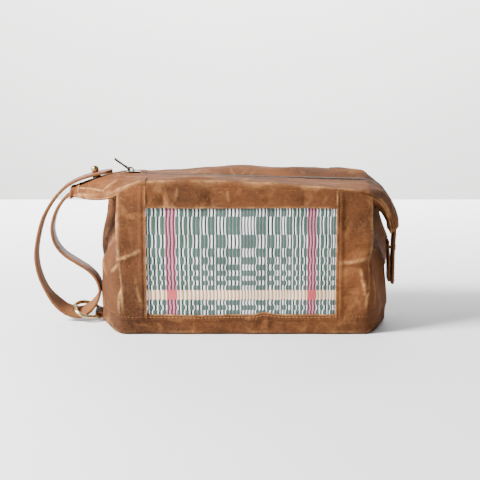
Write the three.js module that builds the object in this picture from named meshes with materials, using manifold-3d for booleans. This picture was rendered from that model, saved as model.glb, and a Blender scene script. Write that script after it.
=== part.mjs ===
// Shaving kit bag: a boxy waxed-canvas wash bag with a woven front panel, a metal zip
// along the top, folded wing ends, a leather wrist strap and a leather end tab.
// Millimetres.  +Z is up, X runs along the length, the woven front faces -Y.
import * as THREE from 'three';
import { mergeVertices } from 'three/addons/utils/BufferGeometryUtils.js';
import Module from 'manifold-3d';

const wasm = await Module();
wasm.setup();

// ---------------------------------------------------------------- driving dimensions
const GAP = 0.3;                 // clearance between neighbouring pieces
const LEFT_X = -125;             // outer face of the left end
const RIGHT_X = 123;             // outer face of the right end
const HALF_DEPTH = 50;           // front and back faces
const CORNER_R = 24;             // plan corner radius of the base
const CANVAS = 2;                // canvas thickness with its seam turnings
const BAND_TOP = 18;             // top edge of the bottom band
const SEAM_L = -83;              // vertical seam, left edge of the woven panel
const SEAM_R = 76;               // vertical seam, right edge of the woven panel
const WEAVE_TOP = 108.8;         // top seam of the woven panel
const WEAVE_T = 1.6;
const TOP_CORNER_TAKE_IN = 0.42; // how far the end corners lean in at the top
const GUSSET_DEPTH = 28;         // inward fold in the middle of each end

const ZIP_X0 = -97;              // reference station of the zip line
const ZIP_SLOPE = -0.0256;       // the zip line falls gently to the right
const ZIP_Z = 130.25;            // middle of the teeth at the reference station
const TOOTH_PITCH = 2.54;
const TOOTH_HALF = 3.3;          // outer edge of each tooth row from the middle
const TOOTH_H = 2.3;
const TAPE_T = 0.7;
const TAPE_OUT = 17;
const RIDGE_Z = 127.8;           // underside of the top canvas at the front ridge
const FLAP_IN = 6.5;             // canvas edge beside the teeth
const FLAP_IN_Z = 131.1;         // underside of the top canvas at the zip
const FLAP_T = 1.8;
const BEND_X = 104;              // where the right wing starts to hang

const SLIDER_L = 13;
const PULL_ANGLE = 33.8;         // pull above the zip line, pointing left

const STRAP_W = 17;
const STRAP_T = 2.8;
const RING_R = 11.65;
const WIRE_R = 1.65;
const RING_EYE = new THREE.Vector3(-128.2, 0, 6.8);
const RING_LIFT = 15;            // outer side of the ring stands up
const RING_LEAN = 18.6;          // near side of the ring lies lower

// ---------------------------------------------------------------- finishes
const finish = (color, roughness, metalness = 0) => ({ color, roughness, metalness });
const WAXED_CANVAS = finish(0xa5703f, 0.72);
const HANDWOVEN = finish(0x8fa79b, 0.9);
const STRAP_LEATHER = finish(0x8f5a3c, 0.55);
const TAPE_CLOTH = finish(0x4c3b2d, 0.9);
const DARK_BRASS = finish(0x4f463a, 0.35, 1);
const ANTIQUE_BRASS = finish(0x9c8a5c, 0.32, 1);

const group = new THREE.Group();
group.name = 'shaving_kit_bag';

// ---------------------------------------------------------------- helpers
const clamp = (t) => Math.min(1, Math.max(0, t));
const smooth = (t) => clamp(t) * clamp(t) * (3 - 2 * clamp(t));
const mix = (a, b, t) => a + (b - a) * t;
const sag = (x) => ZIP_SLOPE * (x - ZIP_X0);

function along(stations, x) {
  // piecewise straight line through [position, value] stations
  if (x <= stations[0][0]) return stations[0][1];
  for (let i = 1; i < stations.length; i += 1) {
    const [x0, v0] = stations[i - 1];
    const [x1, v1] = stations[i];
    if (x <= x1) return mix(v0, v1, (x - x0) / (x1 - x0));
  }
  return stations[stations.length - 1][1];
}

function signedVolume(geometry) {
  const p = geometry.attributes.position;
  const index = geometry.index;
  const a = new THREE.Vector3();
  const b = new THREE.Vector3();
  const c = new THREE.Vector3();
  let six = 0;
  for (let i = 0; i < index.count; i += 3) {
    a.fromBufferAttribute(p, index.getX(i));
    b.fromBufferAttribute(p, index.getX(i + 1));
    c.fromBufferAttribute(p, index.getX(i + 2));
    six += a.dot(b.cross(c));
  }
  return six / 6;
}

function closed(geometry) {
  // weld the faces into one skin that faces outward
  geometry.deleteAttribute('normal');
  geometry.deleteAttribute('uv');
  const skin = mergeVertices(geometry, 1e-4);
  if (signedVolume(skin) < 0) {
    const index = skin.index;
    for (let i = 0; i < index.count; i += 3) {
      const second = index.getX(i + 1);
      index.setX(i + 1, index.getX(i + 2));
      index.setX(i + 2, second);
    }
  }
  return skin;
}

function add(name, geometry, look) {
  const skin = closed(geometry);
  skin.computeVertexNormals();
  const mesh = new THREE.Mesh(skin, new THREE.MeshStandardMaterial(look));
  mesh.name = name;
  group.add(mesh);
  return mesh;
}

function bentPlate(across, up, shape) {
  // a plate whose length, width and thickness (0 to 1) are placed by one function
  const plate = new THREE.BoxGeometry(1, 1, 1, across, up, 1);
  const p = plate.attributes.position;
  for (let i = 0; i < p.count; i += 1) {
    const u = Math.round((p.getX(i) + 0.5) * 1e5) / 1e5;
    const v = Math.round((p.getY(i) + 0.5) * 1e5) / 1e5;
    const w = Math.round((p.getZ(i) + 0.5) * 1e5) / 1e5;
    const [x, y, z] = shape(u, v, w);
    p.setXYZ(i, x, y, z);
  }
  return plate;
}

function box(x0, x1, y0, y1, z0, z1) {
  const block = new THREE.BoxGeometry(x1 - x0, y1 - y0, z1 - z0);
  block.translate((x0 + x1) / 2, (y0 + y1) / 2, (z0 + z1) / 2);
  return block;
}

function toSolid(geometry) {
  const skin = closed(geometry.clone());
  return new wasm.Manifold(new wasm.Mesh({
    numProp: 3,
    vertProperties: new Float32Array(skin.attributes.position.array),
    triVerts: new Uint32Array(skin.index.array),
  }));
}

function fromSolid(solid) {
  const mesh = solid.getMesh();
  const geometry = new THREE.BufferGeometry();
  geometry.setAttribute('position', new THREE.BufferAttribute(new Float32Array(mesh.vertProperties), 3));
  geometry.setIndex(new THREE.BufferAttribute(new Uint32Array(mesh.triVerts), 1));
  return geometry;
}

const cut = (body, ...tools) => fromSolid(tools.reduce((a, b) => a.subtract(toSolid(b)), toSolid(body)));
const join = (body, ...more) => fromSolid(more.reduce((a, b) => a.add(toSolid(b)), toSolid(body)));

// ---------------------------------------------------------------- body outline
function basePath(inset) {
  // rounded rectangle seen from above, drawn anticlockwise
  const shape = new THREE.Path();
  const x0 = LEFT_X + inset;
  const x1 = RIGHT_X - inset;
  const y1 = HALF_DEPTH - inset;
  const r = CORNER_R - inset;
  shape.moveTo(x0 + r, -y1);
  shape.lineTo(x1 - r, -y1);
  shape.absarc(x1 - r, -y1 + r, r, -Math.PI / 2, 0);
  shape.lineTo(x1, y1 - r);
  shape.absarc(x1 - r, y1 - r, r, 0, Math.PI / 2);
  shape.lineTo(x0 + r, y1);
  shape.absarc(x0 + r, y1 - r, r, Math.PI / 2, Math.PI);
  shape.lineTo(x0, -y1 + r);
  shape.absarc(x0 + r, -y1 + r, r, Math.PI, Math.PI * 1.5);
  return shape;
}

const panelShape = new THREE.Shape(basePath(CANVAS + GAP).getPoints(8));
add('base_panel', new THREE.ExtrudeGeometry(panelShape, { depth: CANVAS, bevelEnabled: false }), WAXED_CANVAS);

const bandShape = new THREE.Shape(basePath(0).getPoints(8));
bandShape.holes.push(new THREE.Path(basePath(CANVAS).getPoints(8)));
add('bottom_band', new THREE.ExtrudeGeometry(bandShape, { depth: BAND_TOP, bevelEnabled: false }), WAXED_CANVAS);

// ---------------------------------------------------------------- front and back panels
const PANEL_Z = BAND_TOP + GAP;
const panelTop = (x) => RIDGE_Z - 0.9 + sag(x);

add('textile_panel', box(SEAM_L, SEAM_R - GAP, -HALF_DEPTH, -HALF_DEPTH + WEAVE_T, PANEL_Z, WEAVE_TOP), HANDWOVEN);

function uprightPanel(y0, y1, z0) {
  return bentPlate(8, 2, (u, v, w) => {
    const x = mix(SEAM_L, SEAM_R - GAP, u);
    return [x, mix(y0, y1, w), mix(z0, panelTop(x), v)];
  });
}

add('front_top_strip', uprightPanel(-HALF_DEPTH, -HALF_DEPTH + CANVAS, WEAVE_TOP + GAP), WAXED_CANVAS);
add('back_panel', uprightPanel(HALF_DEPTH - CANVAS, HALF_DEPTH, PANEL_Z), WAXED_CANVAS);

// ---------------------------------------------------------------- end panels
function endPlan(side, seam, inset) {
  // from the front seam round the end to the back seam, as points in plan
  const endX = side < 0 ? LEFT_X : RIGHT_X;
  const straight = Math.abs(endX - seam) - CORNER_R;
  const wall = 2 * (HALF_DEPTH - CORNER_R);
  const arc = (CORNER_R - inset) * Math.PI / 2;
  const total = 2 * straight + wall + 2 * arc;
  return (u) => {
    let d = u * total;
    const half = d > total / 2;
    if (half) d = total - d;
    let x = 0;
    let y = 0;
    const r = CORNER_R - inset;
    if (d < straight) {
      x = d;
      y = -HALF_DEPTH + inset;
    } else if (d < straight + arc) {
      const turn = (d - straight) / r;
      x = straight + r * Math.sin(turn);
      y = -HALF_DEPTH + CORNER_R - r * Math.cos(turn);
    } else {
      x = straight + r;
      y = -HALF_DEPTH + CORNER_R + (d - straight - arc);
    }
    return [seam + side * x, half ? -y : y];
  };
}

function endPanel(name, side, seam, topAtSeam, topAtEnd) {
  const outer = endPlan(side, seam, 0);
  const inner = endPlan(side, seam, CANVAS);
  const reach = Math.abs((side < 0 ? LEFT_X : RIGHT_X) - seam);
  add(name, bentPlate(44, 14, (u, v, w) => {
    const [xo, yo] = outer(u);
    const [xi, yi] = inner(u);
    const x = mix(xo, xi, w);
    const y = mix(yo, yi, w);
    const out = Math.abs(xo - seam) / reach;
    const top = mix(topAtSeam, topAtEnd, smooth((out - 0.12) / 0.58));
    const z = mix(PANEL_Z, top, v);
    const lean = TOP_CORNER_TAKE_IN * smooth((z - 55) / 58);
    const fold = GUSSET_DEPTH * smooth((z - 48) / 66) * Math.max(0, 1 - Math.abs(yo) / 44);
    const folded = fold * smooth((out - 0.8) / 0.2);
    return [seam + (x - seam) * (1 - lean) - side * folded, y, z];
  }), WAXED_CANVAS);
}

endPanel('left_side_panel', -1, SEAM_L - GAP, RIDGE_Z - 0.9, 112);
endPanel('right_side_panel', 1, SEAM_R, RIDGE_Z - 5.3, 107);

// ---------------------------------------------------------------- canvas over the top
function topHalf(name, sideY, xa, xb) {
  // one half of the closed mouth, from the ridge to the teeth
  add(name, bentPlate(10, 4, (u, v, w) => {
    const x = mix(xa, xb, u);
    const y = sideY * mix(HALF_DEPTH - 0.2, FLAP_IN, v);
    return [x, y, mix(RIDGE_Z, FLAP_IN_Z, v) + FLAP_T * w + sag(x)];
  }), WAXED_CANVAS);
}

topHalf('front_flap', -1, SEAM_L, SEAM_R - GAP);
topHalf('back_flap', 1, SEAM_L, SEAM_R - GAP);

// zip line of the left wing: underside of the canvas beside the middle
const WING_L_RIDGE = [[-144.3, 120.6], [-129, 125.4], [-114, 129.7], [-106, 130.9], [-97, 131.1]];
const WING_L_EDGE = [[-144.3, 112.6], [-137, 112], [-127, 112.8], [-111, 118], [-102, 125.5], [-96, RIDGE_Z]];
const WING_L_HALF = [[-144.3, 17], [-137, 24], [-127, 32], [-111, 45], [-100, 49.8]];
const WING_L_SLIT = [[-114, 2.4], [-106, FLAP_IN]];

function leftWing(name, sideY) {
  add(name, bentPlate(16, 5, (u, v, w) => {
    const x = mix(SEAM_L - GAP, -144.3, u);
    const inner = x > ZIP_X0 ? FLAP_IN_Z + sag(x) : along(WING_L_RIDGE, x);
    const outer = x > -96 ? RIDGE_Z + sag(x) : along(WING_L_EDGE, x);
    const y = sideY * mix(along(WING_L_HALF, x), along(WING_L_SLIT, x), v);
    return [x, y, mix(outer, inner, v) + FLAP_T * w];
  }), WAXED_CANVAS);
}

leftWing('left_wing_front', -1);
leftWing('left_wing_back', 1);
add('left_wing_end', bentPlate(3, 4, (u, v, w) => {
  const x = mix(-144.6, -151, u);
  const y = mix(-13, 13, v);
  const fall = 0.35 * (-144.6 - x) + 0.018 * y * y;
  return [x, y, mix(116.9, 122.2, w) - fall * mix(0.1, 1, w)];
}), WAXED_CANVAS);

const WING_R_EDGE = [[SEAM_R, RIDGE_Z - 4.4], [90, RIDGE_Z - 4.9], [BEND_X, 117.6]];
const WING_R_HALF = [[84, 49.8], [BEND_X, 43.5]];

function rightWing(name, sideY) {
  add(name, bentPlate(8, 4, (u, v, w) => {
    const x = mix(SEAM_R + GAP / 2, BEND_X, u);
    const y = sideY * mix(along(WING_R_HALF, x), FLAP_IN, v);
    return [x, y, mix(along(WING_R_EDGE, x), FLAP_IN_Z + sag(x), v) + FLAP_T * w];
  }), WAXED_CANVAS);
}

rightWing('right_wing_front', -1);
rightWing('right_wing_back', 1);

// the hanging end: its middle line and its outer edge, station by station
const DROP_X = [[0, 104.4], [0.16, 111], [0.32, 117.4], [0.46, 122], [0.64, 128.2], [0.8, 132], [0.9, 133.4], [1, 133.6]];
const DROP_Z = [[0, 125.9], [0.16, 123], [0.32, 119.4], [0.46, 115.7], [0.64, 107.6], [0.8, 99.6], [0.9, 92.6], [1, 86]];
const DROP_EDGE_X = [[0, 104.4], [0.16, 107.8], [0.32, 111.6], [0.46, 115], [0.64, 120.2], [0.8, 123.4], [1, 126.2]];
const DROP_EDGE_Z = [[0, 117.6], [0.16, 115], [0.32, 112], [0.46, 109], [0.64, 102], [0.8, 94], [1, 84.6]];
const DROP_HALF = [[0, 43.3], [0.16, 40], [0.32, 35.5], [0.46, 30.5], [0.64, 21.5], [0.8, 15.5], [1, 11]];

function dropPoint(t) {
  return [along(DROP_X, t), along(DROP_Z, t)];
}

function dropNormal(t) {
  const [x0, z0] = dropPoint(Math.max(0, t - 0.05));
  const [x1, z1] = dropPoint(Math.min(1, t + 0.05));
  const long = Math.hypot(x1 - x0, z1 - z0);
  return [-(z1 - z0) / long, (x1 - x0) / long];
}

function dropHalf(name, sideY) {
  add(name, bentPlate(16, 4, (u, v, w) => {
    const [xm, zm] = dropPoint(u);
    const [nx, nz] = dropNormal(u);
    const slit = mix(FLAP_IN, 3.2, smooth(u / 0.9));
    const x = mix(along(DROP_EDGE_X, u), xm, v) + nx * FLAP_T * w;
    const y = sideY * mix(along(DROP_HALF, u), slit, v);
    return [x, y, mix(along(DROP_EDGE_Z, u), zm, v) + nz * FLAP_T * w];
  }), WAXED_CANVAS);
}

dropHalf('hanging_wing_front', -1);
dropHalf('hanging_wing_back', 1);

// ---------------------------------------------------------------- zip tapes and teeth
function straightTape(name, sideY, xa, xb, out, drop) {
  add(name, bentPlate(8, 1, (u, v, w) => {
    const x = mix(xa, xb, u);
    const y = sideY * mix(out, TOOTH_HALF + GAP, v);
    const dip = 0.25 * Math.max(0, -104 - x);
    return [x, y, ZIP_Z - TAPE_T / 2 + TAPE_T * w + sag(x) - drop * (1 - v) - dip];
  }), TAPE_CLOTH);
}

function comb(length, startTooth) {
  // a row of teeth on its cord, drawn flat: teeth point to +Y
  const shape = new THREE.Shape();
  const root = -TOOTH_HALF;
  const back = -2.25;
  const tip = -0.45;
  shape.moveTo(0, root);
  shape.lineTo(length, root);
  shape.lineTo(length, back);
  for (let x = length - startTooth; x > 1.4; x -= TOOTH_PITCH) {
    shape.lineTo(x, back);
    shape.lineTo(x, tip);
    shape.lineTo(x - 1.2, tip);
    shape.lineTo(x - 1.2, back);
  }
  shape.lineTo(0, back);
  return new THREE.ExtrudeGeometry(shape, { depth: TOOTH_H, bevelEnabled: false });
}

function teeth(name, sideY, xa, xb) {
  const row = comb(xb - xa, sideY < 0 ? 0.35 : 1.62);
  const p = row.attributes.position;
  for (let i = 0; i < p.count; i += 1) {
    const x = xa + p.getX(i);
    p.setXYZ(i, x, -sideY * p.getY(i), ZIP_Z - TOOTH_H / 2 + p.getZ(i) + sag(x));
  }
  add(name, row, DARK_BRASS);
}

const TEETH_LEFT = -105;
const sides = [['front', -1], ['back', 1]];
for (const [word, sideY] of sides) {
  straightTape(`zip_tape_${word}_left`, sideY, -108, SEAM_L - GAP, 9.5, 1.2);
  straightTape(`zip_tape_${word}_mid`, sideY, SEAM_L, SEAM_R - GAP, TAPE_OUT, 0.6);
  straightTape(`zip_tape_${word}_right`, sideY, SEAM_R, BEND_X, 9.5, 1.6);
  teeth(`zip_teeth_${word}_left`, sideY, TEETH_LEFT, SEAM_L - GAP);
  teeth(`zip_teeth_${word}_mid`, sideY, SEAM_L, SEAM_R - GAP);
  teeth(`zip_teeth_${word}_right`, sideY, SEAM_R, BEND_X);
  // the end of the zip goes down with the hanging wing, under its canvas
  add(`zip_tape_${word}_end`, bentPlate(12, 1, (u, v, w) => {
    const t = mix(0.03, 0.66, u);
    const [xm, zm] = dropPoint(t);
    const [nx, nz] = dropNormal(t);
    const outer = mix(9.5, 5.2, u);
    const lower = 1.0 + (1 - v) * (outer - TOOTH_HALF) * 0.26;
    const y = sideY * mix(outer, TOOTH_HALF + GAP, v);
    return [xm - nx * (lower + TAPE_T * w), y, zm - nz * (lower + TAPE_T * w)];
  }), TAPE_CLOTH);
  const row = comb(34, sideY < 0 ? 0.35 : 1.62);
  const p = row.attributes.position;
  for (let i = 0; i < p.count; i += 1) {
    const t = 0.014 + (p.getX(i) / 34) * 0.72;
    const [xm, zm] = dropPoint(t);
    const [nx, nz] = dropNormal(t);
    const lift = p.getZ(i) - TOOTH_H / 2 - 1.35;
    p.setXYZ(i, xm + nx * lift, -sideY * p.getY(i), zm + nz * lift);
  }
  add(`zip_teeth_${word}_end`, row, DARK_BRASS);
  const stop = box(-108.4, -105.6, -1.1, 1.1, -1.3, 1.3);
  stop.translate(0, sideY * 2.1, ZIP_Z + sag(-107));
  add(`top_stop_${word}`, stop, DARK_BRASS);
}

const [stopX, stopZ] = dropPoint(0.765);
const [stopNx, stopNz] = dropNormal(0.765);
const bottomStop = new THREE.BoxGeometry(3, 6.2, 2.4);
bottomStop.rotateY(Math.atan2(stopNx, stopNz));
bottomStop.translate(stopX - stopNx * 1.35, 0, stopZ - stopNz * 1.35);
add('bottom_stop', bottomStop, DARK_BRASS);

// ---------------------------------------------------------------- slider and pull
const sz = ZIP_Z;
const plate = (z0, z1, y) => box(-SLIDER_L / 2, SLIDER_L / 2, -y, y, z0, z1);
const crownOutline = new THREE.Shape();
crownOutline.moveTo(-5.2, 2.6);
crownOutline.lineTo(1.6, 2.6);
crownOutline.lineTo(-1.1, 6.4);
crownOutline.lineTo(-4.4, 6.4);
crownOutline.lineTo(-5.2, 5.6);
const crownWindow = new THREE.Path();
crownWindow.moveTo(-4.2, 2.9);
crownWindow.lineTo(-4.2, 5.5);
crownWindow.lineTo(-1.6, 5.5);
crownWindow.lineTo(0.2, 2.9);
crownOutline.holes.push(crownWindow);
const crown = new THREE.ExtrudeGeometry(crownOutline, { depth: 2.4, bevelEnabled: false });
crown.rotateX(Math.PI / 2);
crown.translate(0, 1.2, 0);
const flange = (side, z0, z1) => box(-SLIDER_L / 2, SLIDER_L / 2, side * 4.5 - 0.4, side * 4.5 + 0.4, z0, z1);
const slider = join(
  plate(1.55, 2.85, 4.9),
  plate(-2.85, -1.55, 4.9),
  flange(-1, 0.75, 1.7),
  flange(1, 0.75, 1.7),
  flange(-1, -1.7, -0.8),
  flange(1, -1.7, -0.8),
  box(-6, -1, -0.2, 0.2, -1.7, 1.7),
  crown,
);
slider.rotateY(-Math.atan(ZIP_SLOPE));
slider.translate(ZIP_X0, 0, sz);
add('slider_body', slider, DARK_BRASS);

// flat pull with a square eye round the crown, drawn from its pivot along +X
const pullOutline = new THREE.Shape();
pullOutline.moveTo(-0.6, -2.6);
pullOutline.lineTo(13, -3);
pullOutline.lineTo(15.4, -2.2);
pullOutline.lineTo(16.2, 0);
pullOutline.lineTo(15.4, 2.2);
pullOutline.lineTo(13, 3);
pullOutline.lineTo(-0.6, 2.6);
const pullEye = new THREE.Path();
pullEye.moveTo(0.6, -1.6);
pullEye.lineTo(0.6, 1.6);
pullEye.lineTo(5.2, 1.6);
pullEye.lineTo(5.2, -1.6);
pullOutline.holes.push(pullEye);
const pull = new THREE.ExtrudeGeometry(pullOutline, { depth: 1.2, bevelEnabled: false });
pull.translate(0, 0, -0.6);
pull.rotateY(-THREE.MathUtils.degToRad(180 - PULL_ANGLE));
pull.translate(ZIP_X0 - 3.3, 0, sz + 4.2 + sag(ZIP_X0 - 3.3));
add('pull_tab', pull, DARK_BRASS);

// ---------------------------------------------------------------- wrist strap, stud, ring
const strapPath = new THREE.CatmullRomCurve3([
  [-115, 133.4], [-119, 132.9], [-123, 132.2], [-129.4, 130.9], [-138, 128.5], [-146, 125.5],
  [-151, 122.9], [-155.8, 119.6], [-162, 113.6], [-167.2, 107.2], [-172.8, 98.5], [-176.8, 90],
  [-181.4, 72.6], [-183.2, 57.7], [-180.6, 41.2], [-172.4, 23.9], [-160.6, 11.4], [-154, 8.2],
  [-147, 6.9], [-140.2, 9.1], [-134, 14.5], [-129.3, 22], [-127.6, 30], [-130.4, 38.5],
  [-137, 46], [-147.5, 53], [-158.5, 60.5], [-165.5, 69.5], [-168.3, 80.5], [-167.3, 90],
  [-163.6, 100], [-158.6, 107.4], [-154.2, 111.6], [-150.2, 113.6], [-146.6, 114.1], [-143, 113.9],
].map(([x, z]) => new THREE.Vector3(x, 0, z)), false, 'centripetal');
strapPath.arcLengthDivisions = 600;
const strapLength = strapPath.getLength();
const endHalf = (d) => Math.max(1.2, Math.sqrt(Math.max(0, d * (STRAP_W - d))));

const strapBody = bentPlate(110, 1, (u, v, w) => {
  const t = u < 0.2 ? 0.2 * (u / 0.2) ** 1.4 : u;
  const point = strapPath.getPointAt(t);
  const tangent = strapPath.getTangentAt(t);
  const d = t * strapLength;
  const half = d < STRAP_W / 2 ? endHalf(d) : STRAP_W / 2;
  const lean = THREE.MathUtils.degToRad(RING_LEAN) * smooth(1 - Math.abs(point.z - 10) / 36)
    * smooth((-118 - point.x) / 6) * (d > 150 ? 1 : 0);
  const side = mix(-half, half, v);
  const off = mix(STRAP_T / 2, -STRAP_T / 2, w);
  return [
    point.x + tangent.z * off,
    side * Math.cos(lean) + tangent.x * off * Math.sin(lean),
    point.z - tangent.x * off * Math.cos(lean) + side * Math.sin(lean),
  ];
});
const studX = -129.4;
const studTilt = -0.235;
const studHole = new THREE.CylinderGeometry(2.2, 2.2, 12, 20);
studHole.rotateX(Math.PI / 2);
studHole.rotateY(studTilt);
studHole.translate(studX, 0, 130.9);
add('wrist_strap', cut(strapBody, studHole), STRAP_LEATHER);

function lathe(profile, segments) {
  const turned = new THREE.LatheGeometry(profile.map(([r, z]) => new THREE.Vector2(r, z)), segments);
  turned.rotateX(Math.PI / 2);
  return turned;
}

const ballR = 3.2;
const ball = [];
for (let i = 0; i <= 8; i += 1) {
  const a = mix(-1.08, Math.PI / 2, i / 8);
  ball.push([i === 8 ? 0 : ballR * Math.cos(a), 4.0 + ballR * Math.sin(a)]);
}
const stud = lathe([[0, -3.2], [3.8, -3.2], [4.1, -2.7], [3.8, -2.2], [1.5, -2], ...ball], 28);
stud.rotateY(studTilt);
stud.translate(studX, 0, 130.9);
add('strap_stud', stud, ANTIQUE_BRASS);

const screw = lathe([[0, -8.6], [3.6, -8.6], [4, -8], [3.8, -7.4], [1.5, -7.2], [1.5, -3.6], [0, -3.6]], 24);
screw.rotateY(studTilt);
screw.translate(studX, 0, 130.9);
add('stud_screw', screw, ANTIQUE_BRASS);

const eyeShift = new THREE.Vector3(RING_R, 0, 0);
const lift = THREE.MathUtils.degToRad(RING_LIFT);
const lean = THREE.MathUtils.degToRad(RING_LEAN);
const ring = new THREE.TorusGeometry(RING_R, WIRE_R, 14, 44);
ring.translate(-eyeShift.x, 0, 0);
ring.rotateY(lift);
ring.rotateX(lean);
ring.translate(RING_EYE.x, RING_EYE.y, RING_EYE.z);
add('ring', ring, ANTIQUE_BRASS);

// a short leather tab folded round the ring, its tail against the bottom band
const tabHole = WIRE_R + 0.3;
const tabOut = tabHole + 1.6;
const tabShape = new THREE.Shape();
tabShape.moveTo(2.5, -2.7);
tabShape.lineTo(2.5, 2.7);
tabShape.lineTo(0.3, tabOut);
tabShape.absarc(-1, 0, tabOut, Math.PI / 2, Math.PI * 1.5);
tabShape.lineTo(0.3, -tabOut);
const tabSlot = new THREE.Path();
tabSlot.absarc(0, 0, tabHole, Math.PI / 2, -Math.PI / 2, true);
tabSlot.absarc(-1, 0, tabHole, -Math.PI / 2, -Math.PI * 1.5, true);
tabShape.holes.push(tabSlot);
const tab = new THREE.ExtrudeGeometry(tabShape, { depth: 9, bevelEnabled: false, curveSegments: 10 });
tab.rotateX(Math.PI / 2);
tab.translate(0, 4.5, 0);
tab.rotateX(lean);
tab.translate(RING_EYE.x, RING_EYE.y, RING_EYE.z);
add('ring_tab', tab, STRAP_LEATHER);

// ---------------------------------------------------------------- leather end tab
const TAB_HALF = 10;
const OUTER_LINE = [[33.8, 129.9], [45, 129.6], [60, 129.4], [72, 130], [84, 130.8]];
const INNER_LINE = [[36, 126.6], [45, 126.2], [60, 125.4], [73, 124.9]];

function hangingStrip(line, thickness, half) {
  const low = line[0][0];
  const high = line[line.length - 1][0];
  return bentPlate(1, 14, (u, v, w) => {
    const z = mix(low, high, v);
    const round = v < 0.08 ? mix(0.72, 1, v / 0.08) : 1;
    return [along(line, z) + mix(-0.5, 0.5, w) * thickness, mix(-half, half, u) * round, z];
  });
}

const rivetZ = 66;
const rivetHole = new THREE.CylinderGeometry(2, 2, 16, 18);
rivetHole.rotateZ(Math.PI / 2);
rivetHole.translate(127.5, 0, rivetZ);
add('end_tab_outer', cut(hangingStrip(OUTER_LINE, 2.4, TAB_HALF), rivetHole), STRAP_LEATHER);
add('end_tab_inner', cut(hangingStrip(INNER_LINE, 1.6, TAB_HALF - 0.5), rivetHole), STRAP_LEATHER);

const rivet = lathe([[0, -4.6], [2.4, -4.6], [2.9, -4.3], [1.6, -4.05], [1.6, 3.1], [3.4, 3.3], [2.8, 4.3], [0, 4.5]], 22);
rivet.rotateY(Math.PI / 2);
rivet.translate(128.1, 0, rivetZ);
add('end_tab_rivet', rivet, ANTIQUE_BRASS);

export default group;
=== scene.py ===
"""Shaving kit bag in waxed canvas with a handwoven front panel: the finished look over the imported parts.

Lengths inside the shape functions are millimetres; meshes are written in metres in the part's frame:
+X along the length, the woven panel faces -Y, +Z up.
"""

import logging
import math
from dataclasses import dataclass
from enum import Enum
from typing import Callable, Optional, Sequence, Union

import bmesh
import bpy
import numpy as np
from mathutils import Matrix, Vector

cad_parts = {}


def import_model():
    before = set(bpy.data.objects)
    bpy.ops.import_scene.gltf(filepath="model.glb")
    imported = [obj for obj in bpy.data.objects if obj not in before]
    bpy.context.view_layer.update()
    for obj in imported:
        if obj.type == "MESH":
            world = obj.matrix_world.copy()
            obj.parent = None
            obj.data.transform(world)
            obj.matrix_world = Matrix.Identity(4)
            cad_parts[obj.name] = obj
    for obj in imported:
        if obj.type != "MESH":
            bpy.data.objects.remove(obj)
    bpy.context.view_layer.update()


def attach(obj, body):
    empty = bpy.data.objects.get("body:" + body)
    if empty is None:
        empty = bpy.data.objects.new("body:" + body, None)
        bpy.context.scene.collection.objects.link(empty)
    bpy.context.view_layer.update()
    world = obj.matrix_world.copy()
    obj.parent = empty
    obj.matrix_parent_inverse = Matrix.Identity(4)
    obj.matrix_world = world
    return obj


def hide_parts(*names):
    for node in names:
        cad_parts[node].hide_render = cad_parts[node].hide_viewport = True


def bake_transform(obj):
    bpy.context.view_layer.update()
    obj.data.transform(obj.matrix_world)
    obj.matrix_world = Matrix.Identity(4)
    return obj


MM = 0.001
LOG = logging.getLogger("shaving_kit_bag")

Array = np.ndarray
Piece = bpy.types.Object
Material = bpy.types.Material
Socket = bpy.types.NodeSocket
Feed = Union[Socket, float, tuple]


class Slot(str, Enum):
    """Material slots of the part."""

    CANVAS = "waxed_canvas"
    WOVEN = "handwoven"
    LEATHER = "strap_leather"
    TAPE = "zip_tape"
    DARK_BRASS = "dark_brass"
    BRASS = "antique_brass"


# ---------------------------------------------------------------- small maths


def smooth(t: Array) -> Array:
    """Eased step from 0 to 1."""
    t = np.clip(t, 0.0, 1.0)
    return t * t * (3.0 - 2.0 * t)


def table(stations: Sequence, x: Array) -> Array:
    """Straight-line interpolation through (place, value) stations."""
    a = np.array(stations, float)
    return np.interp(x, a[:, 0], a[:, 1])


def soft_table(stations: Sequence, x: Array, width: float) -> Array:
    """Interpolation through stations with the corners eased: a bell-weighted mean of nine shifted readings.

    Args:
        stations: (place, value) pairs. x: where to read. width: how far the easing reaches.
    Returns:
        The values at x.
    """
    offsets = np.linspace(-1.0, 1.0, 9)
    weights = np.exp(-2.0 * offsets**2)
    total = sum(w * table(stations, np.asarray(x) + o * width) for o, w in zip(offsets, weights))
    return total / weights.sum()


def ripple(a: Array, b: Array, seed: int, size: float, strength: float) -> Array:
    """Slow unevenness of soft cloth: a sum of sine waves in mixed directions.

    Args:
        a, b: surface coordinates in mm. seed: which mix.
        size: typical wavelength in mm. strength: height in mm.
    Returns:
        Height in mm at each coordinate.
    """
    rng = np.random.default_rng(seed)
    total = np.zeros(np.broadcast(a, b).shape)
    for _ in range(9):
        angle, phase = rng.uniform(0, 2 * math.pi, 2)
        wave = size * rng.uniform(0.6, 1.7)
        k = 2 * math.pi / wave
        total = total + np.sin(k * (a * math.cos(angle) + b * math.sin(angle)) + phase) * rng.uniform(0.5,
                                                                                                      1.0)
    return total * strength / 3.2


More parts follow.
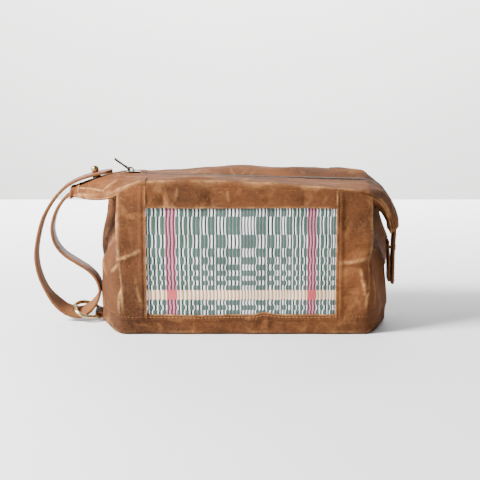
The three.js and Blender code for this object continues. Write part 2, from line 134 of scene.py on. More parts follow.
@dataclass(frozen=True)
class Crease:
    """A fold line pressed into the cloth, from one surface point to another.

    depth is the height in mm (negative is a valley), width its reach, sharp the share that is a hard line,
    wear how pale the wax has rubbed.
    """

    a0: float
    b0: float
    a1: float
    b1: float
    depth: float
    width: float
    sharp: float = 0.6
    wear: float = 0.8

    def apply(self, a: Array, b: Array) -> tuple[Array, Array]:
        """Height and wear at surface coordinates."""
        dx, dy = self.a1 - self.a0, self.b1 - self.b0
        length = math.hypot(dx, dy)
        t = ((a - self.a0) * dx + (b - self.b0) * dy) / length**2
        off = ((a - self.a0) * dy - (b - self.b0) * dx) / length
        bend = 0.035 * length * np.sin(math.pi * np.clip(t, 0, 1) * 1.3 + self.a0)
        off = off + bend
        past = np.maximum(0, np.maximum(-t, t - 1)) * length
        reach = np.hypot(off, past)
        taper = np.sqrt(np.clip(np.sin(math.pi * np.clip(t * 0.86 + 0.07, 0, 1)), 0, 1))
        soft = np.exp(-((reach / self.width) ** 2))
        hard = np.exp(-reach / (0.32 * self.width))
        height = 1.35 * self.depth * taper * ((1 - self.sharp) * soft + self.sharp * hard)
        rubbed = 0.8 * self.wear * taper * np.exp(-((reach / (0.13 * self.width + 0.35)) ** 2))
        return height, rubbed


def pressed(creases: Sequence[Crease], a: Array, b: Array) -> tuple[Array, Array]:
    """Height and wear of a set of creases together."""
    height = np.zeros(np.broadcast(a, b).shape)
    rubbed = np.zeros_like(height)
    for crease in creases:
        h, w = crease.apply(a, b)
        height = height + h
        rubbed = np.maximum(rubbed, w)
    return height, rubbed


# ---------------------------------------------------------------- meshes


def new_object(name: str, verts: Sequence, faces: Sequence, uv: Optional[Sequence] = None,
               marks: Optional[dict] = None, smooth_faces: bool = True) -> Piece:
    """Mesh object from mm vertices.

    Args:
        verts, faces: points in mm and their faces. uv: one pair per vertex.
        marks: {name: one value per vertex}. smooth_faces: shade the faces smooth.
    Returns:
        The linked object, at the origin.
    """
    mesh = bpy.data.meshes.new(name)
    mesh.from_pydata((np.asarray(verts, float) * MM).tolist(), [], faces)
    mesh.validate()
    if uv is not None:
        layer = mesh.uv_layers.new(name="UVMap")
        index = np.zeros(len(mesh.loops), np.int32)
        mesh.loops.foreach_get("vertex_index", index)
        layer.data.foreach_set("uv", np.asarray(uv, np.float32)[index].ravel())
    for key, values in (marks or {}).items():
        attribute = mesh.attributes.new(key, "FLOAT", "POINT")
        attribute.data.foreach_set("value", np.asarray(values, np.float32).ravel())
    if smooth_faces:
        mesh.polygons.foreach_set("use_smooth", [True] * len(mesh.polygons))
    obj = bpy.data.objects.new(name, mesh)
    bpy.context.scene.collection.objects.link(obj)
    return obj


def grid_normals(points: Array) -> Array:
    """Unit normals of a point grid, from its two directions."""
    n = np.cross(np.gradient(points, axis=1), np.gradient(points, axis=0))
    return n / np.maximum(np.linalg.norm(n, axis=2, keepdims=True), 1e-9)


def shell(name: str, points: Array, thickness: float, uv: Array, marks: Optional[dict] = None,
          flip: bool = False) -> Piece:
    """Closed sheet: the outer skin, an inner skin one thickness behind it, and a rounded edge all round.

    Args:
        points: (rows, columns, 3) outer skin in mm. thickness: in mm. uv: (rows, columns, 2).
        marks: {name: (rows, columns)}. flip: the grid's own normals point inward.
    Returns:
        The closed sheet.
    """
    normal = grid_normals(points) * (-1.0 if flip else 1.0)
    rows, cols = points.shape[:2]
    inner = points - normal * thickness
    middle = 0.5 * (points + inner)

    def beyond(edge: Array, inside: Array) -> Array:
        """Half a thickness, from the last row but one towards the edge."""
        away = edge - inside
        return away / np.maximum(np.linalg.norm(away, axis=-1, keepdims=True), 1e-9) * thickness * 0.5

    right = middle[:, -1] + beyond(middle[:, -1], middle[:, -2])
    left = middle[:, 0] + beyond(middle[:, 0], middle[:, 1])
    ring = np.concatenate([points, right[:, None], inner[:, ::-1], left[:, None]], axis=1)
    width = ring.shape[1]
    columns = list(range(cols)) + [cols - 1] + list(range(cols - 1, -1, -1)) + [0]
    verts = ring.reshape(-1, 3)
    ring_uv = uv[:, columns].reshape(-1, 2)
    ring_marks = {k: v[:, columns].ravel() for k, v in (marks or {}).items()}
    i, j = np.meshgrid(np.arange(rows - 1), np.arange(width), indexing="ij")
    a = (i * width + j).ravel()
    b = (i * width + (j + 1) % width).ravel()
    quads = np.stack([a, b, b + width, a + width], axis=1)
    if flip:
        quads = quads[:, ::-1]
    faces = quads.tolist()
    for row, turn in ((0, True), (rows - 1, False)):
        base = row * width
        flat = []
        for c in range(cols - 1):
            flat.append([base + c, base + c + 1, base + 2 * cols - c - 1, base + 2 * cols - c])
        flat.append([base + cols - 1, base + cols, base + cols + 1])
        flat.append([base + 2 * cols, base + 2 * cols + 1, base])
        if turn:
            flat = [f[::-1] for f in flat]
        if flip:
            flat = [f[::-1] for f in flat]
        faces += flat
    obj = face_outward(new_object(name, verts, faces, ring_uv, ring_marks))
    obj.data.set_sharp_from_angle(angle=math.radians(30))
    return obj


def face_outward(obj: Piece) -> Piece:
    """Turn every face of a closed mesh to point out."""
    bm = bmesh.new()
    bm.from_mesh(obj.data)
    bmesh.ops.recalc_face_normals(bm, faces=bm.faces)
    bm.to_mesh(obj.data)
    bm.free()
    return obj


def sweep(name: str, centre: Array, across: Array, normal: Array, section: Array,
          marks: Optional[dict] = None, closed: bool = False, cap: bool = True) -> Piece:
    """A section carried along a line.

    Args:
        centre, across, normal: (n, 3) line and its two unit directions. section: (m, 2) in those directions,
        or (n, m, 2) where it changes along the way. marks: {name: (m,) or (n, m)}.
        closed: the line joins its own start. cap: close the two ends.
    Returns:
        The closed solid.
    """
    n = len(centre)
    section = np.asarray(section, float)
    if section.ndim == 2:
        section = np.repeat(section[None], n, axis=0)
    m = section.shape[1]
    verts = centre[:, None] + across[:, None] * section[..., :1] + normal[:, None] * section[..., 1:]
    steps = np.r_[0, np.cumsum(np.linalg.norm(np.diff(centre, axis=0), axis=1))]
    around = np.r_[0, np.cumsum(np.linalg.norm(np.diff(section[n // 2], axis=0), axis=1))]
    uv = np.stack(np.broadcast_arrays(steps[:, None], around[None]), axis=-1).reshape(-1, 2)
    values = {}
    for key, v in (marks or {}).items():
        values[key] = np.broadcast_to(np.asarray(v, float), (n, m)).ravel()
    last = n if closed else n - 1
    i, j = np.meshgrid(np.arange(last), np.arange(m), indexing="ij")
    a, b = i * m + j, i * m + (j + 1) % m
    c, d = ((i + 1) % n) * m + (j + 1) % m, ((i + 1) % n) * m + j
    faces = np.stack([a.ravel(), b.ravel(), c.ravel(), d.ravel()], axis=1).tolist()
    if cap and not closed:
        faces.append(list(range(m))[::-1])
        faces.append([(n - 1) * m + k for k in range(m)])
    return face_outward(new_object(name, verts.reshape(-1, 3), faces, uv, values))


def rounded_section(width: float, height: float, radius: float, per_corner: int = 4) -> Array:
    """Rounded rectangle outline, (m, 2)."""
    radius = min(radius, width / 2 - 1e-3, height / 2 - 1e-3)
    points = []
    for cx, cy, start in ((1, 1, 0), (-1, 1, 90), (-1, -1, 180), (1, -1, 270)):
        for k in range(per_corner):
            angle = math.radians(start + 90 * k / (per_corner - 1))
            points.append((cx * (width / 2 - radius) + radius * math.cos(angle),
                           cy * (height / 2 - radius) + radius * math.sin(angle)))
    return np.array(points)


def lathe(name: str, profile: Sequence, segments: int = 48) -> Piece:
    """Turned piece about Z.

    Args:
        profile: (radius, height) stations in mm, from one end to the other. segments: steps round it.
    Returns:
        The closed solid.
    """
    profile = np.array(profile, float)
    angles = np.linspace(0, 2 * math.pi, segments, endpoint=False)
    radius = np.maximum(profile[:, 0], 1e-4)
    ring = np.stack([radius[:, None] * np.cos(angles), radius[:, None] * np.sin(angles),
                     np.repeat(profile[:, 1][:, None], segments, axis=1)], axis=-1)
    m = segments
    n = len(profile)
    i, j = np.meshgrid(np.arange(n - 1), np.arange(m), indexing="ij")
    faces = np.stack([(i * m + j).ravel(), (i * m + (j + 1) % m).ravel(),
                      ((i + 1) * m + (j + 1) % m).ravel(), ((i + 1) * m + j).ravel()], axis=1).tolist()
    faces.append(list(range(m))[::-1])
    faces.append([(n - 1) * m + k for k in range(m)])
    along = np.r_[0, np.cumsum(np.linalg.norm(np.diff(profile, axis=0), axis=1))]
    uv = np.stack(np.broadcast_arrays(along[:, None], 6 * angles[None]), axis=-1).reshape(-1, 2)
    return face_outward(new_object(name, ring.reshape(-1, 3), faces, uv))


def prism(name: str, outline: Sequence, hole: Optional[Sequence], depth: float, bevel: float) -> Piece:
    """Flat plate with rounded edges, centred on Z = 0.

    Args:
        outline, hole: XY points in mm; the hole may be None. depth: along Z. bevel: edge radius.
    Returns:
        The plate.
    """
    bm = bmesh.new()
    loops = [outline] + ([hole] if hole is not None else [])
    edges = []
    for points in loops:
        verts = [bm.verts.new((x * MM, y * MM, -depth * MM / 2)) for x, y in points]
        edges += [bm.edges.new((verts[k], verts[(k + 1) % len(verts)])) for k in range(len(verts))]
    bmesh.ops.triangle_fill(bm, use_beauty=True, use_dissolve=True, edges=edges)
    made = bmesh.ops.extrude_face_region(bm, geom=list(bm.faces))
    bmesh.ops.translate(bm, verts=[v for v in made["geom"] if isinstance(v, bmesh.types.BMVert)],
                        vec=(0, 0, depth * MM))
    bmesh.ops.recalc_face_normals(bm, faces=bm.faces)
    rim = [e for e in bm.edges if len(e.link_faces) == 2 and e.calc_face_angle(0) > 0.6]
    bmesh.ops.bevel(bm, geom=rim, offset=bevel * MM, segments=3, affect="EDGES", profile=0.6)
    mesh = bpy.data.meshes.new(name)
    bm.to_mesh(mesh)
    bm.free()
    mesh.polygons.foreach_set("use_smooth", [True] * len(mesh.polygons))
    obj = bpy.data.objects.new(name, mesh)
    bpy.context.scene.collection.objects.link(obj)
    return obj


def merge(name: str, objects: Sequence[Piece]) -> Piece:
    """Join finished meshes into one object."""
    bpy.context.view_layer.update()
    for o in objects:
        o.data.transform(o.matrix_world)
        o.matrix_world = Matrix.Identity(4)
    for o in bpy.context.selected_objects:
        o.select_set(False)
    for o in objects:
        o.select_set(True)
    bpy.context.view_layer.objects.active = objects[0]
    bpy.ops.object.join()
    objects[0].name = objects[0].data.name = name
    return objects[0]


def place(obj: Piece, matrix: Matrix) -> Piece:
    """Bake a placement in mm into the mesh."""
    move = matrix.copy()
    move.translation = move.translation * MM
    obj.data.transform(move)
    return obj


# ---------------------------------------------------------------- the bag's form


@dataclass(frozen=True)
class BagSize:
    """Driving sizes of the bag in mm."""

    middle_x: float = -1.0
    half_length: float = 124.0
    half_depth: float = 50.0
    corner: float = 24.0
    band: float = 18.0
    seam_left: float = -83.0
    seam_right: float = 76.0
    weave_top: float = 108.8
    ridge_z: float = 127.2
    zip_z: float = 130.25
    zip_x0: float = -97.0
    zip_slope: float = -0.0256
    canvas: float = 1.3


class BagForm:
    """The soft outline of the bag: walls, folded ends, and the canvas over the top."""

    WALL_CREASES = (
        Crease(-117, 62, -87, 73, 1.5, 5, 0.7, 0.9),
        Crease(-113, 60, -104, 38, -2.4, 7, 0.5, 0.6),
        Crease(-104, 40, -107, 20, 1.6, 5, 0.6, 0.8),
        Crease(-128, 52, -112, 60, 1.8, 6, 0.7, 0.7),
        Crease(-100, 96, -92, 60, -0.9, 9, 0.2, 0.1),
        Crease(-91, 50, -86, 24, 0.9, 6, 0.4, 0.3),
        Crease(99, 56, 102, 35, 1.7, 5, 0.7, 0.9),
        Crease(78, 62, 106, 67, 1.3, 5, 0.6, 0.8),
        Crease(104, 66, 115, 56, -3.0, 8, 0.4, 0.1),
        Crease(88, 40, 99, 24, -1.2, 8, 0.3, 0.2),
        Crease(113, 50, 118, 26, 1.2, 6, 0.5, 0.5),
        Crease(84, 112, 96, 84, -0.8, 9, 0.2, 0.0),
        Crease(-66, 126, -68, 111, -1.5, 5, 0.3, 0.0),
        Crease(-56, 126, -57, 114, 0.9, 4, 0.4, 0.3),
        Crease(-29, 124, -27, 111, -1.7, 6, 0.3, 0.0),
        Crease(-14, 126, -13, 114, 0.8, 5, 0.4, 0.3),
        Crease(18, 124, 20, 112, -0.9, 7, 0.3, 0.0),
        Crease(52, 122, 49, 111, -1.0, 6, 0.3, 0.0),
        Crease(140, 70, 165, 62, -2.0, 8, 0.5, 0.4),
        Crease(-160, 60, -140, 46, 1.8, 7, 0.6, 0.6),
        Crease(-190, 66, -168, 50, -1.8, 8, 0.5, 0.4),
        Crease(180, 52, 205, 40, 1.6, 7, 0.6, 0.5),
    )

    def __init__(self, size: BagSize) -> None:
        """Work out the lengths round the base and the folded outline of each end."""
        self.size = size
        straight = size.half_length - size.corner
        self.arc = size.corner * math.pi / 2
        self.end_mid = straight + self.arc + size.half_depth - size.corner
        self.half = 2 * self.end_mid
        self.top_plan = {side: self._top_plan(side) for side in (-1, 1)}

    def sag(self, x: Array) -> Array:
        """Fall of the zip line along the bag."""
        return self.size.zip_slope * (np.asarray(x) - self.size.zip_x0)

    def base_plan(self, s: Array) -> tuple[Array, Array]:
        """Point of the rounded base outline at a distance s from the front middle; positive runs to +X."""
        z = self.size
        side = np.where(np.asarray(s) < 0, -1.0, 1.0)
        a = np.abs(s)
        back = a > self.end_mid
        a = np.where(back, self.half - a, a)
        straight = z.half_length - z.corner
        turn = np.clip((a - straight) / z.corner, 0, math.pi / 2)
        x = np.minimum(a, straight) + z.corner * np.sin(turn)
        y = -z.half_depth + z.corner * (1 - np.cos(turn)) + np.maximum(0, a - straight - self.arc)
        return z.middle_x + side * x, np.where(back, -y, y)

    def _top_plan(self, side: int) -> tuple[Array, Array, Array, dict]:
        """Outline at the top of an end: in from the front corner to the valley, out to the back corner.

        Args:
            side: -1 for the left end, 1 for the right.
        Returns:
            Distances round the bag, x and y there, and the distances of the front, valley and back folds.
        """
        z = self.size
        seam = abs((z.seam_left if side < 0 else z.seam_right) - z.middle_x)
        front = (105.6, -47.5) if side < 0 else (106.5, -47.5)
        valley = (87.0, 0.0) if side < 0 else (84.0, 0.0)
        back = (121.5, 44.5) if side < 0 else (118.5, 45.0)
        corners = [(seam, -50.0), front, valley, back, (seam, 50.0)]
        lengths = [math.dist(p, q) for p, q in zip(corners, corners[1:])]
        half = self.end_mid - seam
        share = [half / (lengths[0] + lengths[1]), half / (lengths[2] + lengths[3])]
        stops = np.cumsum([seam, lengths[0] * share[0], lengths[1] * share[0],
                           lengths[2] * share[1], lengths[3] * share[1]])
        a = np.linspace(seam - 20, self.half - seam + 20, 900)
        xs = np.interp(a, stops, [c[0] for c in corners])
        ys = np.interp(a, stops, [c[1] for c in corners])
        xs = np.where(a < seam, a, np.where(a > stops[-1], self.half - a, xs))
        kernel = np.exp(-0.5 * (np.arange(-24, 25) * (a[1] - a[0]) / 1.7) ** 2)
        kernel /= kernel.sum()
        xs[24:-24] = np.convolve(xs, kernel, "valid")
        ys[24:-24] = np.convolve(ys, kernel, "valid")
        self_stops = {"front": stops[1], "valley": stops[2], "back": stops[3]}
        return a, xs, ys, self_stops

    def fold_weight(self, a: Array, height: Array, side: int) -> Array:
        """How far the end has turned from the rounded base to the folded top."""
        stops = self.top_plan[side][3]
        low = np.interp(a, [stops["front"], stops["valley"], stops["back"]], [44, 50, 56])
        high = np.interp(a, [stops["front"], stops["valley"], stops["back"]], [90, 113, 114])
        return smooth((height - low) / (high - low))

    def wall(self, s: Array, height: Array, offset: Union[float, Array] = 0.0,
             detail: bool = True) -> tuple[Array, Array]:
        """Outer skin of the walls.

        Args:
            s: distance round the bag from the front middle, mm. height: above the floor, mm.
            offset: how far proud of the cloth's middle surface.
        Returns:
            (..., 3) points and the wear value there.
        """
        s, height = np.broadcast_arrays(np.asarray(s, float), np.asarray(height, float))
        s = (s + self.half) % (2 * self.half) - self.half
        x, y = self._plan_at(s, height)
        e = 0.4
        xa, ya = self._plan_at(s - e, height)
        xb, yb = self._plan_at(s + e, height)
        tx, ty = xb - xa, yb - ya
        norm = np.maximum(np.hypot(tx, ty), 1e-6)
        nx, ny = ty / norm, -tx / norm
        push = np.zeros(s.shape) + offset
        wear = np.zeros(s.shape)
        if detail:
            free = smooth(height / 14) * smooth((self.wall_top(s) - height) / 9)
            face = smooth((np.abs(s) - 76) / 12)
            h, wear = pressed(self.WALL_CREASES, s, height)
            push = push + h * free
            free = free * smooth((self.half - np.abs(s)) / 30)
            push = push + ripple(s, height, 5, 62, 0.9) * free * (0.35 + 0.65 * face)
            push = push + ripple(s, height, 8, 24, 0.4) * free * (0.3 + 0.7 * face)
            hollow = np.exp(-(((height - 56) / 17) ** 2)) * smooth((np.abs(s) - 104) / 16)
            push = push - 2.2 * hollow * smooth((196 - np.abs(s)) / 30)
            belly = np.sin(math.pi * np.clip(height / 128, 0, 1)) * np.cos(np.clip(s / 150, -1,
                                                                                   1) * math.pi / 2)
            push = push + 1.6 * belly * (np.abs(s) < 150)
            wear = np.maximum(wear, 0.75 * self._fold_wear(s, height))
        tuck = 4.0 * (1 - np.sqrt(np.clip(1 - (np.clip(4.0 - height, 0, 4) / 4.0) ** 2, 0, 1)))
        push = push - tuck
        return np.stack([x + nx * push, y + ny * push, height], axis=-1), wear

    def _fold_wear(self, s: Array, height: Array) -> Array:
        """Wear along the front and back folds of each end: a bell curve across each fold line."""
        wear = np.zeros(s.shape)
        for side in (-1, 1):
            stops = self.top_plan[side][3]
            here = np.where(s * side > 0, 1.0, 0.0)
            for key, drift in (("front", 0.10), ("back", 0.05)):
                line = stops[key] - drift * np.maximum(0, 70 - height)
                gap = np.abs(s) - line
                lit = np.exp(-((gap / 1.3) ** 2)) * smooth((height - 16) / 14)
                wear = np.maximum(wear, here * lit * (0.75 + 0.25 * np.sin(height / 5.0 + stops[key])))
        return wear

    def _plan_at(self, s: Array, height: Array) -> tuple[Array, Array]:
        """Outline at a height: the rounded base eased into the folded top, back corners bulged."""
        side = np.where(s < 0, -1, 1)
        x0, y0 = self.base_plan(s)
        x0 = x0 - side * self._round_end(x0, y0, height)
        x1, y1 = x0.copy(), y0.copy()
        weight = np.zeros(s.shape)
        for one in (-1, 1):
            a, xs, ys, _ = self.top_plan[one]
            here = (side == one) & (np.abs(s) > a[0] + 12) & (np.abs(s) < a[-1] - 12)
            folded_x = self.size.middle_x + one * np.interp(np.abs(s), a, xs)
            folded_y = np.interp(np.abs(s), a, ys)
            x1 = np.where(here, folded_x, x1)
            y1 = np.where(here, folded_y, y1)
            weight = np.where(here, self.fold_weight(np.abs(s), height, one), weight)
        x, y = x0 + (x1 - x0) * weight, y0 + (y1 - y0) * weight
        bulge = np.where(side < 0, 8.0, 11.0) * np.exp(-(((height - 68) / 26) ** 2)) * np.exp(-(((y - 43) / 12) ** 2))
        return x + side * bulge * smooth((np.abs(x) - 90) / 22), y

    def _round_end(self, x: Array, y: Array, height: Array) -> Array:
        """How far the rounded base pulls in at its corners; the back ones fill out again higher up."""
        z = self.size
        reach = np.abs(x - z.middle_x) - (z.half_length - z.corner) + 2
        pull = 8.5 * smooth(np.abs(y) / 34) * smooth(reach / z.corner)
        return pull * np.where(y > 0, 1 - smooth((height - 14) / 40), 1.0)

    # ---- canvas over the top: from the outer edge of each half to the zip

    LEFT_EDGE = ((-151, 13.2, 113.2), (-144, 16.5, 112.9), (-137, 23.0, 112.2), (-127, 31.0, 112.8),
                 (-118, 38.5, 114.4), (-111, 44.2, 116.9), (-105, 47.6, 120.6), (-98, 49.4, 125.0),
                 (-88, 50, 127.0))
    LEFT_BACK = ((-151, 13.2, 113.2), (-144, 16.5, 112.9), (-137, 23.0, 112.2), (-130, 31.5, 112.4),
                 (-126, 38.0, 112.6), (-122, 44.0, 113.2), (-113, 46.6, 116.0), (-106, 48.2, 119.4),
                 (-98, 49.6, 122.6), (-88, 50, 123.8))
    LEFT_MID = ((-151, 0.1, 119.6), (-144.3, 0.15, 122.6), (-129, 0.25, 127.4), (-116, 0.5, 131.4),
                (-109, 2.6, 132.2), (-104, 5.2, 132.1), (-97, 5.9, 132.0))
    RIGHT_EDGE = ((76, 50.0, 122.8), (88, 49.6, 122.2), (96, 48.6, 120.6), (104.4, 45.8, 117.6),
                  (107.8, 41.5, 115.0),
                  (111.6, 36.5, 112.0), (115, 31.3, 109.0), (120.2, 22.2, 102.0), (123.4, 16.0, 94.0),
                  (125.4, 13.0, 86.5), (126.4, 11.5, 80.0))
    RIGHT_BACK = ((76, 50.0, 122.8), (88, 49.8, 122.2), (96, 49.2, 120.8), (104.4, 48.2, 118.6),
                  (111.0, 46.8, 115.8),
                  (116.6, 43.0, 112.0), (118.6, 33.5, 108.0), (120.8, 22.2, 101.0), (123.4, 16.0, 94.0),
                  (125.4, 13.0, 86.5), (126.4, 11.5, 80.0))
    RIGHT_MID = ((76, 5.9, 0.0), (88, 5.8, 0.0), (96, 5.7, 0.0), (104.4, 5.6, 127.4), (111.6, 5.2, 124.6),
                 (118.0, 4.8, 120.4), (122.0, 4.4, 116.6), (127.4, 3.8, 108.4), (131.6, 3.2, 100.0),
                 (133.9, 2.4, 92.8), (134.6, 1.6, 85.2))

    def ridge(self, x: Array, side: int) -> Array:
        """Height where the long walls meet the top."""
        low = self.size.ridge_z + self.sag(x)
        return low - (3.2 * np.exp(-(((x + 84) / 30) ** 2)) if side > 0 else 0.0)

    def zip_edge(self, x: Array) -> Array:
        """Height of the canvas beside the zip: level with the teeth towards the right."""
        return 131.8 + self.sag(x) - 0.9 * smooth((x - 20) / 50)

    def top_stations(self, part: str, n: int, side: int = -1) -> dict:
        """Edge line, zip line and outward direction along one part of the top.

        Returns:
            dict of (n,) arrays: ex, ey, ez (edge), mx, my, mz (beside the zip), k (running length), boxy, swell.
        """
        z = self.size
        t = np.linspace(0, 1, n)
        if part == "left":
            x = -151 + (z.seam_left + 151) * t
            ex = mx = x
            line = self.LEFT_EDGE if side < 0 else self.LEFT_BACK
            end = (-70, float(self.ridge(np.array(-76.0), side)))
            ey = soft_table([(p[0], p[1]) for p in line], x, 3)
            ez = soft_table([(p[0], p[2]) for p in line] + [end], x, 3)
            to_seam = smooth((x + 90) / 7)
            ez = ez * (1 - to_seam) + self.ridge(x, side) * to_seam
            my = soft_table([(p[0], p[1]) for p in self.LEFT_MID], x, 2)
            mz = soft_table([(p[0], p[2]) for p in self.LEFT_MID] + [(-70, 132.3)], x, 3)
            mz = mz * (1 - to_seam) + self.zip_edge(x) * to_seam
            boxy = table([(-151, 2.2), (-110, 2.4), (-96, 4.5), (-83, 5.5)], x)
            swell = table([(-151, 0), (-104, 0.0), (-83, 3.4 if side < 0 else 0.0)], x)
        elif part == "mid":
            x = z.seam_left + (z.seam_right - z.seam_left) * t
            ex = mx = x
            ey, my = np.full(n, 50.0), np.full(n, 5.9)
            ez, mz = self.ridge(x, side), self.zip_edge(x)
            boxy = np.full(n, 5.5)
            front = [(-83, 3.4), (-50, 5.6), (-10, 5.9), (30, 4.4), (76, 1.4)]
            back = [(-83, 0.0), (-58, 0.4), (-40, 2.6), (-15, 6.0), (20, 6.6), (76, 6.4)]
            swell = soft_table(front if side < 0 else back, x, 9)
        else:
            edge = np.array(self.RIGHT_EDGE if side < 0 else self.RIGHT_BACK)
            mid = np.array(self.RIGHT_MID)
            mid[:3, 2] = self.zip_edge(mid[:3, 0])
            mid[3:5, 2] -= 1.1
            run = np.r_[0, np.cumsum(np.linalg.norm(np.diff(mid[:, [0, 2]], axis=0), axis=1))]
            k = t * run[-1]
            pick = [soft_table(np.stack([run, c], axis=1), k, 3.0) for c in (*edge.T, *mid.T)]
            ends = [c for c in (*edge.T, *mid.T)]
            near = smooth(np.minimum(k, run[-1] - k) / 4)
            pick = [np.interp(k, run, c) * (1 - near) + p * near for c, p in zip(ends, pick)]
            ex, ey, ez, mx, my, mz = pick
            boxy = table([(0, 5.5), (20, 4.2), (34, 2.8), (70, 2.2)], k)
            swell = table([(0, 1.4), (26, 0.8), (40, 0)] if side < 0 else [(0, 6.4), (20, 6.6), (32, 5.6),
                                                                           (42, 0)], k)
        run = np.r_[0, np.cumsum(np.hypot(np.diff(mx), np.diff(mz)))]
        return {"ex": ex, "ey": ey, "ez": ez, "mx": mx, "my": my, "mz": mz, "k": run, "boxy": boxy,
                "swell": swell}

    def wall_top(self, s: Array) -> Array:
        """Height where a wall meets the canvas over the top, falling to the inward fold at each end."""
        s = (np.asarray(s, float) + self.half) % (2 * self.half) - self.half
        total = np.zeros(s.shape)
        for one, front, back, low in ((-1, self.LEFT_EDGE, self.LEFT_BACK, 114.0),
                                      (1, self.RIGHT_EDGE, self.RIGHT_BACK, 111.5)):
            a, xs, _, stops = self.top_plan[one]
            reach = np.interp(np.abs(s), a, xs)
            reach = np.where(np.abs(s) < a[0], np.abs(s),
                             np.where(np.abs(s) > a[-1], self.half - np.abs(s), reach))
            x = self.size.middle_x + one * reach
            on_back = np.abs(s) > stops["valley"]
            for side, line in ((-1, front), (1, back)):
                order = sorted((p[0], p[2]) for p in line if abs(p[0]) < 124)
                edge = soft_table(order, x, 2.5)
                at_seam = smooth((np.abs(x) - (90 if one < 0 else 78)) / 7)
                edge = self.ridge(x, side) * (1 - at_seam) + edge * at_seam
                corner = stops["front" if side < 0 else "back"]
                corner_x = self.size.middle_x + one * np.interp(corner, a, xs)
                top = soft_table(order, corner_x, 2.5)
                away = (np.abs(s) - corner) * -side
                inner = low + (top - low) * (1 - smooth(away / 26))
                here = (np.sign(s + 1e-9) == one) & (on_back == (side > 0))
                total = np.where(here, np.where(away > 0, inner, edge), total)
        return total

    def top(self, part: str, side: int, n: int, m: int, creases: Sequence[Crease] = (),
            seed: int = 3) -> tuple[Array, Array, Array, dict]:
        """One half of the canvas over the top, from its outer edge to the zip.

        Height and reach are powers of the sine and cosine of one angle, so the section is a rounded box.

        Args:
            part: "left", "mid" or "right". side: -1 front, 1 back. n, m: points along and across.
            creases: fold lines in (along, across) mm. seed: which unevenness.
        Returns:
            (n, m, 3) points, their UV and wear, and the stations they were made from.
        """
        st = self.top_stations(part, n, side)
        edge = np.stack([st["ex"], side * st["ey"], st["ez"]], axis=-1)[:, None]
        mid = np.stack([st["mx"], side * st["my"], st["mz"]], axis=-1)[:, None]
        lateral = np.stack([np.zeros(n), side * (st["ey"] - st["my"]), np.zeros(n)], axis=-1)[:, None]
        v = np.linspace(0, 1, m)[None]
        angle = (v**0.8) * math.pi / 2
        power = 2.0 / st["boxy"][:, None]
        rise = np.sin(angle) ** power
        reach = 1 - np.cos(angle) ** power
        shoulder = table([(2.2, 0.72), (5.5, 0.42)], st["boxy"])[:, None]
        lift = shoulder * rise + (1 - shoulder) * reach
        lift = lift / lift[:, -1:]
        points = edge + (mid + lateral - edge) * lift[..., None] - lateral * reach[..., None]
        full = rise * (1 - smooth(reach)) if side < 0 else np.sin(math.pi * np.clip(reach * 0.8 + 0.2, 0,
                                                                                    1)) * rise
        points[..., 2] += st["swell"][:, None] * full
        away = st["k"][:, None] + np.zeros((n, m))
        across = reach * (st["ey"] - st["my"])[:, None]
        h, wear = pressed(creases, away, across)
        body = np.sin(math.pi * v) ** 0.6
        h = h * body + (ripple(away + 40 * (part == "mid"), across, seed, 46, 0.8)
                        + ripple(away, across, seed + 1, 17, 0.22)) * body
        normal = grid_normals(points)
        normal = np.where(normal[..., 2:] * 1.0 + normal[..., :1] * 0.4 < 0, -normal, normal)
        points = points + normal * h[..., None]
        ridge = 0.55 * np.exp(-((reach - 0.04) / 0.035) ** 2)
        wear = np.maximum(wear, ridge * (0.6 + 0.4 * np.sin(away / 7.0)))
        uv = np.stack([away, across], axis=-1)
        return points, uv, wear, st


# ---------------------------------------------------------------- finishes


